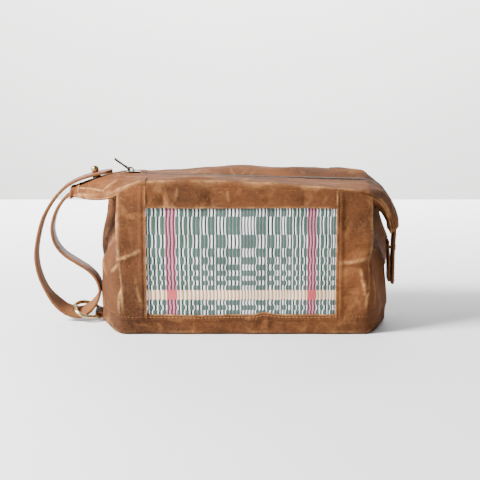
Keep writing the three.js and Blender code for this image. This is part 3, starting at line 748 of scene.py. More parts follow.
class Graph:
    """Short-hand for building a shader node tree."""

    def __init__(self, tree: bpy.types.NodeTree) -> None:
        """Keep the tree that the nodes go into."""
        self.tree = tree

    def node(self, kind: str, inputs: Optional[dict] = None, **settings: object) -> bpy.types.Node:
        """Add a node; inputs maps a socket name or number to a value or to another socket."""
        made = self.tree.nodes.new(kind)
        for key, value in settings.items():
            setattr(made, key, value)
        for key, value in (inputs or {}).items():
            self.feed(made.inputs[key], value)
        return made

    def feed(self, socket: bpy.types.NodeSocket, value: Feed) -> None:
        """Link a socket, or set its constant."""
        if isinstance(value, bpy.types.NodeSocket):
            self.tree.links.new(value, socket)
        else:
            socket.default_value = value

    def math(self, operation: str, a: Feed, b: Feed = 0.0, c: Feed = 0.0, clamp: bool = False) -> Socket:
        """One arithmetic step."""
        made = self.node("ShaderNodeMath", operation=operation, use_clamp=clamp)
        for k, value in enumerate((a, b, c)):
            self.feed(made.inputs[k], value)
        return made.outputs[0]

    def mix(self, factor: Feed, a: Feed, b: Feed) -> Socket:
        """Blend two colours."""
        made = self.node("ShaderNodeMix", data_type="RGBA", clamp_factor=True)
        for index, value in ((0, factor), (6, a), (7, b)):
            self.feed(made.inputs[index], value)
        return made.outputs[2]

    def noise(self, vector: Feed, scale: Feed, detail: float = 4.0, rough: float = 0.55,
              distortion: float = 0.0) -> Socket:
        """Noise value at a coordinate."""
        made = self.node("ShaderNodeTexNoise", {"Vector": vector, "Scale": scale, "Detail": detail,
                                                "Roughness": rough, "Distortion": distortion})
        return made.outputs["Fac"]

    def span(self, value: Feed, low: float, high: float) -> Socket:
        """Stretch a value so that low becomes 0 and high becomes 1."""
        made = self.node("ShaderNodeMapRange", {"Value": value, "From Min": low, "From Max": high},
                         clamp=True)
        return made.outputs[0]

    def attribute(self, name: str) -> Socket:
        """A named value of the mesh."""
        return self.node("ShaderNodeAttribute", attribute_name=name).outputs["Fac"]

    def bump(self, height: Feed, distance: float, strength: float = 1.0,
             normal: Optional[Feed] = None) -> Socket:
        """Turn a height into a normal."""
        inputs = {"Height": height, "Distance": distance, "Strength": strength}
        if normal is not None:
            inputs["Normal"] = normal
        return self.node("ShaderNodeBump", inputs).outputs[0]


def rgb(r: float, g: float, b: float) -> tuple:
    """Linear colour from 8-bit screen values."""
    def channel(v: float) -> float:
        """One channel, from screen value to linear."""
        v /= 255.0
        return v / 12.92 if v <= 0.04045 else ((v + 0.055) / 1.055) ** 2.4
    return (channel(r), channel(g), channel(b), 1.0)


def shared_group(name: str, inputs: Sequence, outputs: Sequence, fill: Callable) -> bpy.types.NodeTree:
    """A node group used by several finishes, built on its first use.

    Args:
        inputs: (label, socket type, default). outputs: (label, socket type).
        fill: lays the nodes between the group's input and output nodes.
    Returns:
        The group's tree.
    """
    if name in bpy.data.node_groups:
        return bpy.data.node_groups[name]
    tree = bpy.data.node_groups.new(name, "ShaderNodeTree")
    for label, kind, value in inputs:
        socket = tree.interface.new_socket(label, in_out="INPUT", socket_type=kind)
        if value is not None:
            socket.default_value = value
    for label, kind in outputs:
        tree.interface.new_socket(label, in_out="OUTPUT", socket_type=kind)
    graph = Graph(tree)
    start = tree.nodes.new("NodeGroupInput")
    end = tree.nodes.new("NodeGroupOutput")
    fill(graph, start, end)
    return tree


def weave_group() -> bpy.types.NodeTree:
    """Plain weave: over-and-under threads at a pitch, as a height from 0 to 1."""
    def fill(g: Graph, start: bpy.types.Node, end: bpy.types.Node) -> None:
        """Lay warp and weft as sine ridges and raise each where it passes over."""
        split = g.node("ShaderNodeSeparateXYZ", {0: start.outputs["Place"]})
        wobble = g.noise(start.outputs["Place"], 0.35, 2.0)
        shift = g.math("MULTIPLY", wobble, 0.8)
        u = g.math("DIVIDE", g.math("ADD", split.outputs[0], shift), start.outputs["Pitch"])
        v = g.math("DIVIDE", g.math("ADD", split.outputs[1], shift), start.outputs["Pitch"])
        warp = g.math("ABSOLUTE", g.math("SINE", g.math("MULTIPLY", u, math.pi)))
        weft = g.math("ABSOLUTE", g.math("SINE", g.math("MULTIPLY", v, math.pi)))
        parity = g.math("MODULO", g.math("ABSOLUTE", g.math("ADD", g.math("FLOOR", u), g.math("FLOOR", v))),
                        2.0)
        over = g.math("MULTIPLY", warp, g.math("ADD", 0.55, g.math("MULTIPLY", parity, 0.45)))
        under = g.math("MULTIPLY", weft, g.math("SUBTRACT", 1.0, g.math("MULTIPLY", parity, 0.45)))
        g.feed(end.inputs["Height"], g.math("MAXIMUM", over, under))
    return shared_group("plain weave", [("Place", "NodeSocketVector", None),
                                        ("Pitch", "NodeSocketFloat", 0.7)],
                        [("Height", "NodeSocketFloat")], fill)


def mottle_group() -> bpy.types.NodeTree:
    """Soft blotches at a size, as a value from 0 to 1."""
    def fill(g: Graph, start: bpy.types.Node, end: bpy.types.Node) -> None:
        """Add a coarse and a fine noise and stretch their sum."""
        place = start.outputs["Place"]
        big = g.noise(place, start.outputs["Scale"], 5.0, 0.62, 0.6)
        small = g.noise(place, g.math("MULTIPLY", start.outputs["Scale"], 5.3), 3.0, 0.6)
        both = g.math("ADD", g.math("MULTIPLY", big, 0.72), g.math("MULTIPLY", small, 0.28))
        g.feed(end.inputs["Value"], g.span(both, 0.34, 0.66))
    return shared_group("soft mottle", [("Place", "NodeSocketVector", None),
                                        ("Scale", "NodeSocketFloat", 30.0)],
                        [("Value", "NodeSocketFloat")], fill)


@dataclass(frozen=True)
class CanvasFinish:
    """Waxed cotton canvas: tan brown, darker in mottled patches and towards the floor, pale where it has been
    creased.
    """

    dark: tuple = rgb(48, 25, 12)
    middle: tuple = rgb(104, 60, 31)
    light: tuple = rgb(158, 106, 62)
    rubbed: tuple = rgb(208, 156, 102)
    roughness: float = 0.8

    def build(self) -> Material:
        """Make the material."""
        material, g, shader = new_material("waxed canvas")
        place = g.node("ShaderNodeTexCoord").outputs["Object"]
        uv = g.node("ShaderNodeUVMap", uv_map="UVMap").outputs[0]
        blotch = g.node("ShaderNodeGroup", {"Place": place, "Scale": 26.0}, node_tree=mottle_group())
        blotch.inputs["Scale"].default_value = 26.0
        fine = g.noise(place, 420.0, 4.0, 0.7)
        cloud = g.noise(place, 11.0, 3.0, 0.5, 0.8)
        weave = g.node("ShaderNodeGroup", {"Place": uv}, node_tree=weave_group())
        weave.inputs["Pitch"].default_value = 0.62
        height = g.node("ShaderNodeSeparateXYZ", {0: place}).outputs[2]
        # Darker towards the floor: the colour darkens over the lowest 34 mm of height.
        low = g.span(height, 0.034, 0.006)
        base = g.mix(g.span(cloud, 0.34, 0.58), self.dark, self.middle)
        base = g.mix(g.math("MULTIPLY", blotch.outputs[0], 0.48), base, self.middle)
        base = g.mix(g.math("MULTIPLY", low, 0.36), base, self.dark)
        stain = g.span(g.noise(place, 46.0, 4.0, 0.6, 0.9), 0.5, 0.68)
        base = g.mix(g.math("MULTIPLY", stain, 0.4), base, self.dark)
        base = g.mix(g.math("MULTIPLY", g.span(g.noise(place, 34.0, 5.0, 0.65, 1.2), 0.52, 0.74), 0.75), base,
                     self.light)
        base = g.mix(g.math("MULTIPLY", g.span(fine, 0.35, 0.75), 0.22), base, self.light)
        # Painted shade in the hollows between the woven threads: the low parts of the weave are darkened.
        threads = g.math("SUBTRACT", 1.0, weave.outputs[0])
        base = g.mix(g.math("MULTIPLY", threads, 0.42), base, self.dark)
        flecks = g.span(g.noise(place, 900.0, 2.0, 0.5), 0.68, 0.76)
        base = g.mix(g.math("MULTIPLY", flecks, 0.35), base, self.rubbed)
        broken = g.span(g.noise(place, 150.0, 4.0, 0.7), 0.36, 0.62)
        worn = g.math("MULTIPLY", g.attribute("wear"), g.math("ADD", 0.12, g.math("MULTIPLY", broken, 0.75)),
                      clamp=True)
        base = g.mix(worn, base, self.rubbed)
        g.feed(shader.inputs["Base Color"], base)
        g.feed(shader.inputs["Roughness"], g.math("ADD", self.roughness - 0.09,
                                                  g.math("MULTIPLY", fine, 0.2)))
        normal = g.bump(weave.outputs[0], 0.00016, 0.75)
        normal = g.bump(blotch.outputs[0], 0.0011, 0.35, normal)
        g.feed(shader.inputs["Normal"], normal)
        shader.inputs["Specular IOR Level"].default_value = 0.14
        return material


@dataclass(frozen=True)
class WovenFinish:
    """Handwoven cotton: blocks of sage weft and blocks of white warp stripes, pink bands and a cream band."""

    sage: tuple = rgb(84, 112, 100)
    sage_dark: tuple = rgb(38, 58, 50)
    mauve: tuple = rgb(112, 92, 114)
    lilac: tuple = rgb(190, 168, 198)
    white: tuple = rgb(252, 250, 255)
    green: tuple = rgb(32, 52, 38)
    pink: tuple = rgb(204, 134, 152)
    wine: tuple = rgb(84, 42, 58)
    coral: tuple = rgb(206, 88, 92)
    cream: tuple = rgb(250, 206, 178)
    olive: tuple = rgb(146, 124, 58)

    def build(self) -> Material:
        """Make the material."""
        material, g, shader = new_material("handwoven cotton")
        uv = g.node("ShaderNodeUVMap", uv_map="UVMap").outputs[0]
        split = g.node("ShaderNodeSeparateXYZ", {0: uv})
        u, v = split.outputs[0], split.outputs[1]
        wobble = g.math("SUBTRACT", g.noise(uv, 0.16, 2.0), 0.5)
        column = g.math("ADD", g.attribute("column"), g.math("MULTIPLY", wobble, 0.06))
        row = g.math("ADD", g.attribute("row"), g.math("MULTIPLY", wobble, 0.14))
        parity = g.math("MODULO", g.math("ADD", g.math("FLOOR", column), g.math("FLOOR", row)), 2.0)
        thread = g.math("ADD", g.attribute("thread"), g.math("MULTIPLY", wobble, 0.10))
        wave = g.math("COSINE", g.math("MULTIPLY", thread, 2 * math.pi))
        warp = g.span(wave, -0.25, 0.22)
        pick = g.math("SINE", g.math("MULTIPLY", v, 2 * math.pi / 0.96))
        pick = g.math("ADD", g.math("MULTIPLY", pick, 0.5), 0.5)
        grit = g.noise(uv, 1.7, 2.0, 0.6)
        striped = g.mix(warp, self.green, self.white)
        lilac = g.math("MULTIPLY", g.math("MULTIPLY", g.span(wave, 0.6, 0.2), warp), 0.5)
        striped = g.mix(lilac, striped, self.lilac)
        border = g.span(wave, 0.72, 0.95)
        solid = g.mix(g.span(grit, 0.32, 0.62), self.sage_dark, self.sage)
        solid = g.mix(g.math("MULTIPLY", g.span(pick, 0.5, 0.9), 0.35), solid, self.sage_dark)
        solid = g.mix(g.math("MULTIPLY", border, g.span(pick, 0.25, 0.6)), solid, self.mauve)
        solid = g.mix(g.math("MULTIPLY", border, g.span(pick, 0.3, 0.1)), solid, self.lilac)
        ground = g.mix(parity, solid, striped)
        pinks = g.math("MAXIMUM", self._band(g, column, 5.0, 8.0, 0.04),
                       self._band(g, column, 27.0, 30.0, 0.04))
        cream_here = self._band(g, v, 12.6, 20.8, 0.3)
        blush = g.mix(warp, self.wine, self.pink)
        dash = g.math("MULTIPLY", g.math("SUBTRACT", 1.0, parity), g.span(pick, 0.35, 0.65))
        blush = g.mix(g.math("MULTIPLY", dash, 0.6), blush, self.wine)
        ground = g.mix(pinks, ground, blush)
        gold = g.span(wave, -0.1, -0.6)
        bars = g.mix(g.math("MULTIPLY", gold, 0.85), g.mix(border, self.cream, self.white), self.olive)
        bars = g.mix(pinks, bars, g.mix(g.math("MULTIPLY", grit, 0.25), self.coral, self.wine))
        colour = g.mix(cream_here, ground, bars)
        shade = g.math("MULTIPLY", g.math("SUBTRACT", 1.0, pick), 0.12)
        colour = g.mix(shade, colour, self.green)
        # Painted shade: broad soft patches darkened towards the dark green, standing in for the shading of shallow
        # dents in the cloth.
        soft = g.span(g.noise(uv, 0.035, 2.0, 0.5), 0.46, 0.66)
        colour = g.mix(g.math("MULTIPLY", soft, 0.26), colour, self.green)
        g.feed(shader.inputs["Base Color"], colour)
        shader.inputs["Roughness"].default_value = 0.88
        shader.inputs["Specular IOR Level"].default_value = 0.2
        relief = g.math("ADD", g.math("MULTIPLY", g.math("ABSOLUTE", wave), 0.6),
                        g.math("MULTIPLY", pick, 0.4))
        g.feed(shader.inputs["Normal"], g.bump(relief, 0.00028, 0.9))
        return material

    @staticmethod
    def _band(g: Graph, value: Feed, low: float, high: float, soft: float) -> Socket:
        """Mask that is 1 between low and high, eased at both ends."""
        rise = g.span(value, low - soft, low + soft)
        fall = g.span(value, high + soft, high - soft)
        return g.math("MULTIPLY", rise, fall)


@dataclass(frozen=True)
class LeatherFinish:
    """Vegetable-tanned strap leather: a smooth reddish grain side, a fibrous back and raw edges."""

    grain: tuple = rgb(128, 70, 46)
    grain_dark: tuple = rgb(76, 40, 28)
    flesh: tuple = rgb(136, 84, 40)
    flesh_dark: tuple = rgb(66, 38, 18)

    def build(self) -> Material:
        """Make the material."""
        material, g, shader = new_material("strap leather")
        place = g.node("ShaderNodeTexCoord").outputs["Object"]
        side = g.attribute("grain_side")
        cells = g.node("ShaderNodeTexVoronoi", {"Vector": place, "Scale": 1300.0}, feature="DISTANCE_TO_EDGE")
        pores = g.span(cells.outputs["Distance"], 0.0, 0.25)
        tone = g.noise(place, 60.0, 5.0, 0.65, 0.7)
        fibre = g.noise(place, 1100.0, 6.0, 0.8, 0.4)
        fuzz = g.noise(place, 380.0, 5.0, 0.75, 1.5)
        grain = g.mix(g.span(tone, 0.3, 0.7), self.grain_dark, self.grain)
        grain = g.mix(g.math("MULTIPLY", g.math("SUBTRACT", 1.0, pores), 0.25), grain, self.grain_dark)
        flesh = g.mix(g.span(fibre, 0.3, 0.7), self.flesh_dark, self.flesh)
        flesh = g.mix(g.math("MULTIPLY", g.span(fuzz, 0.55, 0.8), 0.5), flesh, self.flesh_dark)
        g.feed(shader.inputs["Base Color"], g.mix(side, flesh, grain))
        rough = g.math("SUBTRACT", 0.88, g.math("MULTIPLY", side, 0.42))
        g.feed(shader.inputs["Roughness"], g.math("ADD", rough, g.math("MULTIPLY", fibre, 0.1)))
        relief = g.math("ADD", g.math("MULTIPLY", pores, side),
                        g.math("MULTIPLY", g.math("ADD", fibre, fuzz), g.math("SUBTRACT", 1.0, side)))
        g.feed(shader.inputs["Normal"], g.bump(relief, 0.00022, 0.55))
        shader.inputs["Specular IOR Level"].default_value = 0.4
        return material


@dataclass(frozen=True)
class MetalFinish:
    """Plated brass, mottled by noise between a dark and a bright tone."""

    name: str
    bright: tuple
    dark: tuple
    roughness: float

    def build(self) -> Material:
        """Make the material."""
        material, g, shader = new_material(self.name)
        place = g.node("ShaderNodeTexCoord").outputs["Object"]
        tarnish = g.noise(place, 240.0, 5.0, 0.65, 0.5)
        scratch = g.noise(place, 1600.0, 3.0, 0.6)
        g.feed(shader.inputs["Base Color"], g.mix(g.span(tarnish, 0.38, 0.66), self.dark, self.bright))
        g.feed(shader.inputs["Roughness"], g.math("ADD", self.roughness, g.math("MULTIPLY", scratch, 0.16)))
        shader.inputs["Metallic"].default_value = 1.0
        g.feed(shader.inputs["Normal"], g.bump(g.math("ADD", tarnish, g.math("MULTIPLY", scratch, 0.5)),
                                               0.0001, 0.5))
        return material


@dataclass(frozen=True)
class ClothFinish:
    """Plain cotton: zip tape, or sewing thread."""

    name: str
    colour: tuple
    shade: tuple
    pitch: float

    def build(self) -> Material:
        """Make the material."""
        material, g, shader = new_material(self.name)
        uv = g.node("ShaderNodeUVMap", uv_map="UVMap").outputs[0]
        place = g.node("ShaderNodeTexCoord").outputs["Object"]
        weave = g.node("ShaderNodeGroup", {"Place": uv}, node_tree=weave_group())
        weave.inputs["Pitch"].default_value = self.pitch
        uneven = g.noise(place, 300.0, 4.0, 0.6)
        colour = g.mix(g.math("MULTIPLY", uneven, 0.6), self.colour, self.shade)
        # Painted shade in the hollows between the threads of the weave.
        colour = g.mix(g.math("MULTIPLY", g.math("SUBTRACT", 1.0, weave.outputs[0]), 0.6), colour, self.shade)
        g.feed(shader.inputs["Base Color"], colour)
        g.feed(shader.inputs["Normal"], g.bump(weave.outputs[0], 0.00012, 0.8))
        shader.inputs["Roughness"].default_value = 0.85
        return material


def new_material(name: str) -> tuple[Material, Graph, bpy.types.Node]:
    """Empty material with its shader, and a Graph on its tree."""
    material = bpy.data.materials.new(name)
    material.use_nodes = True
    shader = material.node_tree.nodes["Principled BSDF"]
    return material, Graph(material.node_tree), shader


def finish_library() -> dict:
    """Every finish of the bag by name."""
    return {
        "canvas": CanvasFinish().build(),
        "woven": WovenFinish().build(),
        "leather": LeatherFinish().build(),
        "brass": MetalFinish("antique brass", rgb(214, 194, 146), rgb(120, 98, 64), 0.2).build(),
        "dark_brass": MetalFinish("dark antique brass", rgb(128, 116, 96), rgb(26, 22, 19), 0.24).build(),
        "zip_teeth": MetalFinish("dark zip teeth", rgb(78, 70, 58), rgb(18, 16, 14), 0.45).build(),
        "tape": ClothFinish("zip tape", rgb(70, 44, 26), rgb(30, 18, 11), 0.5).build(),
        "thread": ClothFinish("sewing thread", rgb(168, 112, 66), rgb(120, 76, 44), 0.3).build(),
    }


def dress(obj: Piece, material: Material, body: str, replaces: Sequence[str] = (),
          ride: bool = True) -> Piece:
    """Give a piece its finish, the body it moves with and the CAD nodes it stands for.

    Args:
        replaces: CAD nodes that this piece stands for. ride: False leaves the piece attached to no body.
    Returns:
        The same object.
    """
    obj.data.materials.clear()
    obj.data.materials.append(material)
    if ride:
        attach(obj, body)
    if replaces:
        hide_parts(*replaces)
    return obj


def stitches(name: str, points: Array, normals: Array, pitch: float = 3.1, length: float = 2.35,
             radius: float = 0.27) -> Piece:
    """A run of topstitching: one short thread per stitch, lying along a surface line.

    Args:
        points, normals: (n, 3) surface line in mm. pitch, length, radius: of one stitch, in mm.
    Returns:
        All the stitches as one object.
    """
    steps = np.r_[0, np.cumsum(np.linalg.norm(np.diff(points, axis=0), axis=1))]
    count = int(steps[-1] // pitch)
    ring = 6
    rows = (-1.0, -0.8, 0.0, 0.8, 1.0)
    scale = (0.25, 0.85, 1.0, 0.85, 0.25)
    verts, faces, uv = [], [], []
    for k in range(count):
        mid = (k + 0.5) * pitch
        for r, (share, girth) in enumerate(zip(rows, scale)):
            at = mid + share * length / 2
            p = np.array([np.interp(at, steps, points[:, c]) for c in range(3)])
            q = np.array([np.interp(at + 0.3, steps, points[:, c]) for c in range(3)])
            n = np.array([np.interp(at, steps, normals[:, c]) for c in range(3)])
            along = (q - p) / max(np.linalg.norm(q - p), 1e-6)
            n = n - along * (n @ along)
            n = n / max(np.linalg.norm(n), 1e-6)
            side = np.cross(along, n)
            sink = -0.16 * share * share * 1.6
            for c in range(ring):
                angle = 2 * math.pi * c / ring
                verts.append(p + n * (radius * girth * math.sin(angle) + 0.08 + sink)
                             + side * radius * 1.15 * girth * math.cos(angle))
                uv.append((at, c * 0.3))
        base = k * ring * len(rows)
        for r in range(len(rows) - 1):
            for c in range(ring):
                a, b = base + r * ring + c, base + r * ring + (c + 1) % ring
                faces.append([a, b, b + ring, a + ring])
        faces.append([base + c for c in range(ring)][::-1])
        faces.append([base + (len(rows) - 1) * ring + c for c in range(ring)])
    return face_outward(new_object(name, verts, faces, uv))


# ---------------------------------------------------------------- sub-assemblies


@dataclass(frozen=True)
class CanvasBody:
    """Walls, bottom band and base of the bag, with their seams and stitching."""

    form: BagForm
    looks: dict

    def _columns(self, s0: float, s1: float, step: float, fine0: bool = False, fine1: bool = False) -> Array:
        """Distances round the bag from s0 to s1, closer together beside a sewn edge."""
        inner = np.linspace(s0, s1, max(3, int(abs(s1 - s0) / step) + 1))
        sign = 1.0 if s1 > s0 else -1.0
        near = np.array([0, 0.5, 1.0, 1.5, 2.0, 2.5, 3.0, 3.6, 4.4, 5.4, 6.6]) * sign
        parts = [inner[(np.abs(inner - s0) > 7.5 * fine0) & (np.abs(inner - s1) > 7.5 * fine1)]]
        if fine0:
            parts.insert(0, s0 + near)
        if fine1:
            parts.append((s1 - near)[::-1])
        return np.concatenate(parts)

    @staticmethod
    def _turned_edge(gap: Array) -> Array:
        """Extra height of a folded and topstitched edge at a distance from it."""
        plump = 0.75 * (1 - smooth((gap - 4.6) / 2.2))
        groove = -0.4 * np.exp(-(((gap - 2.5) / 0.7) ** 2))
        return plump + groove

    def _wear_edge(self, gap: Array, along: Array) -> Array:
        """Wear of a sewn edge: a bell curve across it, uneven along it."""
        return 0.8 * np.exp(-((gap / 0.9) ** 2)) * (0.7 + 0.3 * np.sin(along / 3.1) * np.sin(along / 7.7))

    def band_top(self, s: Array) -> Array:
        """Height of the band's top edge: a little higher at the corners, pinched up in one place."""
        a = np.abs(s)
        rise = 2.4 * smooth((a - 92) / 34)
        pinch = 1.9 * np.exp(-(((s - 18) / 7.0) ** 2)) - 0.7 * np.exp(-(((s + 38) / 20) ** 2))
        return self.form.size.band + rise + pinch * (a < 120)

    def build(self) -> list[Piece]:
        """Make every wall piece, the band, the base and their stitches."""
        form, z = self.form, self.form.size
        left = z.seam_left - z.middle_x
        right = z.seam_right - z.middle_x
        made = []
        spans = {
            "canvas_left_side": (-(form.half + left), left, "left_side_panel"),
            "canvas_right_side": (right, form.half - right, "right_side_panel"),
        }
        for name, (s0, s1, node) in spans.items():
            s = self._columns(s0, s1, 1.15, True, True)
            t = np.linspace(0, 1, 92)
            gap = np.minimum(np.abs(s - s0), np.abs(s - s1))
            low = self.band_top(s) - 3.0
            height = low[:, None] + (form.wall_top(s) - low)[:, None] * t[None]
            fade = smooth((form.wall_top(s)[:, None] - height) / 7)
            proud = 0.35 * fade + self._turned_edge(gap)[:, None] * (0.25 + 0.75 * fade)
            points, wear = form.wall(s[:, None] + 0 * height, height, proud)
            wear = np.maximum(wear, self._wear_edge(gap[:, None], height))
            uv = np.stack([s[:, None] + 0 * height, height], axis=-1)
            obj = shell(name, points, z.canvas, uv, {"wear": wear})
            made.append(dress(obj, self.looks["canvas"], "bag", [node]))
            for seam_s, inward in ((s0, 1), (s1, -1)):
                line = seam_s + inward * 2.5
                up = np.linspace(self.band_top(np.array([seam_s]))[0] + 1,
                                 form.wall_top(np.array([seam_s]))[0] - 1, 80)
                made.append(self._stitch_line(f"{name}_topstitch_{'front' if abs(seam_s) < 150 else 'back'}",
                                              np.full(80, line), up, 0.65))
        made.append(self._strip("canvas_strip_above_weave", left, right,
                                lambda s: z.weave_top + 0.5 * np.sin(s / 31.0) + 0.5 - 0.007 * s,
                                "front_top_strip", 0.3, True))
        made.append(self._strip("canvas_back", form.half - right, form.half - left,
                                lambda s: self.band_top(s) - 3.0, "back_panel", -0.2, False))
        made += self._band()
        return made

    def _stitch_line(self, name: str, s: Array, height: Array, offset: float) -> Piece:
        """Topstitching along a line on the walls."""
        form = self.form
        points, _ = form.wall(s, height, offset)
        ahead, _ = form.wall(s, height, offset + 1.0)
        normal = ahead - points
        normal /= np.linalg.norm(normal, axis=1, keepdims=True)
        return dress(stitches(name, points, normal), self.looks["thread"], "bag")

    def _strip(self, name: str, s0: float, s1: float, low: Callable, node: str, proud: float,
               hem: bool) -> Piece:
        """A wall piece between two seams, from its lower edge up to the ridge.

        Args:
            s0, s1: seams, as distances round the bag. low: lower edge's height at a distance.
            node: CAD node it stands for. proud: how far it stands out. hem: its lower edge is turned.
        Returns:
            The dressed piece.
        """
        form, z = self.form, self.form.size
        s = np.linspace(s0, s1, 160)
        rows = np.r_[0, 0.5, 1.1, 1.8, 2.6, 3.6, 5.0]
        bottom = low(s)
        x, _ = form.base_plan(s)
        top = form.ridge(x, -1 if hem else 1)
        t = np.linspace(0, 1, 40 if node == "back_panel" else 16)[1:]
        height = np.concatenate([bottom[:, None] + rows[None],
                                 (bottom + 5.0)[:, None] + (top - bottom - 5.0)[:, None] * t[None]], axis=1)
        gap = height - bottom[:, None]
        offset = proud + (0.55 * (1 - smooth((gap - 2.0) / 2.5)) if hem else 0 * gap)
        offset = offset * smooth((top[:, None] - height) / 7)
        points, wear = form.wall(s[:, None] + 0 * height, height, offset)
        if hem:
            wear = np.maximum(wear, 0.55 * self._wear_edge(gap, s[:, None]))
        uv = np.stack([s[:, None] + 0 * height, height], axis=-1)
        obj = shell(name, points, z.canvas, uv, {"wear": wear})
        return dress(obj, self.looks["canvas"], "bag", [node])

    def _band(self) -> list[Piece]:
        """Make the ring of canvas round the base, its topstitch and the base."""
        form, z = self.form, self.form.size
        made = []
        count = 620
        s = np.linspace(-form.half, form.half, count, endpoint=False)
        down = np.array([0, 0.5, 1.0, 1.5, 2.1, 2.7, 3.3, 4.2, 5.4])
        top = self.band_top(s)
        steps = np.linspace(0, 1, 16)[1:]
        curve = np.concatenate([down[None] + 0 * top[:, None],
                                5.4 + (top[:, None] - 5.4 - 4.0) * steps[None]], axis=1)
        foot = np.array([3.3, 2.6, 1.9, 1.3, 0.8, 0.45, 0.2, 0.05])
        height = np.concatenate([top[:, None] - curve, foot[None] + 0 * top[:, None]], axis=1)
        gap = top[:, None] - height
        proud = 0.9 + self._turned_edge(gap) * 0.8 + 0.5 * np.sin(s / 9.3)[:, None] * smooth(gap / 8) * 0.5
        gather = np.sin(s / 5.7 + 1.3 * np.sin(s / 23.0)) * np.exp(-(((np.abs(s) - 20) / 70) ** 2))
        proud = proud + 0.35 * gather[:, None] * smooth(gap / 6) * smooth(height / 5)
        proud = proud - 1.2 * np.exp(-(((s - 14) / 3.4) ** 2))[:, None] * np.exp(-(((gap - 9) / 6) ** 2))
        proud = proud + 0.9 * np.exp(-(((s - 20) / 2.6) ** 2))[:, None] * np.exp(-(((gap - 9) / 7) ** 2))
        points, wear = form.wall(s[:, None] + 0 * height, height, proud)
        wear = np.maximum(wear * 0.5, self._wear_edge(gap, s[:, None]))
        wear = np.maximum(wear, 0.35 * np.exp(-((height - 2.2) / 1.2) ** 2) * (0.5 + 0.5 * np.sin(s / 11.0))[:, None])
        inner = points[:, ::-1].copy()
        toward = np.array([z.middle_x, 0.0, 0.0])
        flat = inner - toward
        flat[..., 2] = 0
        flat /= np.linalg.norm(flat, axis=-1, keepdims=True)
        inner = inner - flat * z.canvas
        ring = np.concatenate([points, inner], axis=1)
        n, m = ring.shape[:2]
        i, j = np.meshgrid(np.arange(n), np.arange(m), indexing="ij")
        a, b = i * m + j, i * m + (j + 1) % m
        c, d = ((i + 1) % n) * m + (j + 1) % m, ((i + 1) % n) * m + j
        faces = np.stack([a.ravel(), b.ravel(), c.ravel(), d.ravel()], axis=1).tolist()
        along = np.repeat(s[:, None], m, axis=1)
        uv = np.stack([along, ring[..., 2]], axis=-1).reshape(-1, 2)
        worn = np.concatenate([wear, wear[:, ::-1] * 0], axis=1).ravel()
        band = face_outward(new_object("canvas_bottom_band", ring.reshape(-1, 3), faces, uv, {"wear": worn}))
        made.append(dress(band, self.looks["canvas"], "bag", ["bottom_band"]))
        line = np.linspace(-form.half, form.half, 900)
        made.append(self._stitch_line("bottom_band_topstitch", line, self.band_top(line) - 2.5, 1.45))
        made.append(self._base())
        return made

    def _base(self) -> Piece:
        """Flat bottom: the foot of the walls drawn in to the middle in rings, closed by an upper skin."""
        form = self.form
        s = np.linspace(-form.half, form.half, 300, endpoint=False)
        x, y = form._plan_at(s, np.zeros(s.shape))
        rings = []
        for share, level in ((0.962, 0.9), (0.94, 0.25), (0.9, 0.1), (0.6, 0.3), (0.25, 0.35)):
            rings.append(np.stack([form.size.middle_x + (x - form.size.middle_x) * share, y * share,
                                   np.full(s.shape, level)], axis=-1))
        for share, level in ((0.25, 1.6), (0.6, 1.6), (0.9, 1.5), (0.962, 1.6)):
            rings.append(np.stack([form.size.middle_x + (x - form.size.middle_x) * share, y * share,
                                   np.full(s.shape, level)], axis=-1))
        points = np.stack(rings)
        n, m = points.shape[:2]
        verts = np.concatenate([points.reshape(-1, 3),
                                [[form.size.middle_x, 0, 0.35], [form.size.middle_x, 0, 1.6]]])
        i, j = np.meshgrid([0, 1, 2, 3, 5, 6, 7], np.arange(m), indexing="ij")
        a, b = i * m + j, i * m + (j + 1) % m
        faces = np.stack([a.ravel(), b.ravel(), (b + m).ravel(), (a + m).ravel()], axis=1).tolist()
        for k in range(m):
            nxt = (k + 1) % m
            faces.append([4 * m + k, 4 * m + nxt, n * m])
            faces.append([5 * m + k, 5 * m + nxt, n * m + 1])
            faces.append([k, nxt, (n - 1) * m + nxt, (n - 1) * m + k])
        uv = verts[:, :2]
        obj = face_outward(new_object("canvas_base", verts, faces, uv, {"wear": np.zeros(len(verts))}))
        return dress(obj, self.looks["canvas"], "bag", ["base_panel"])


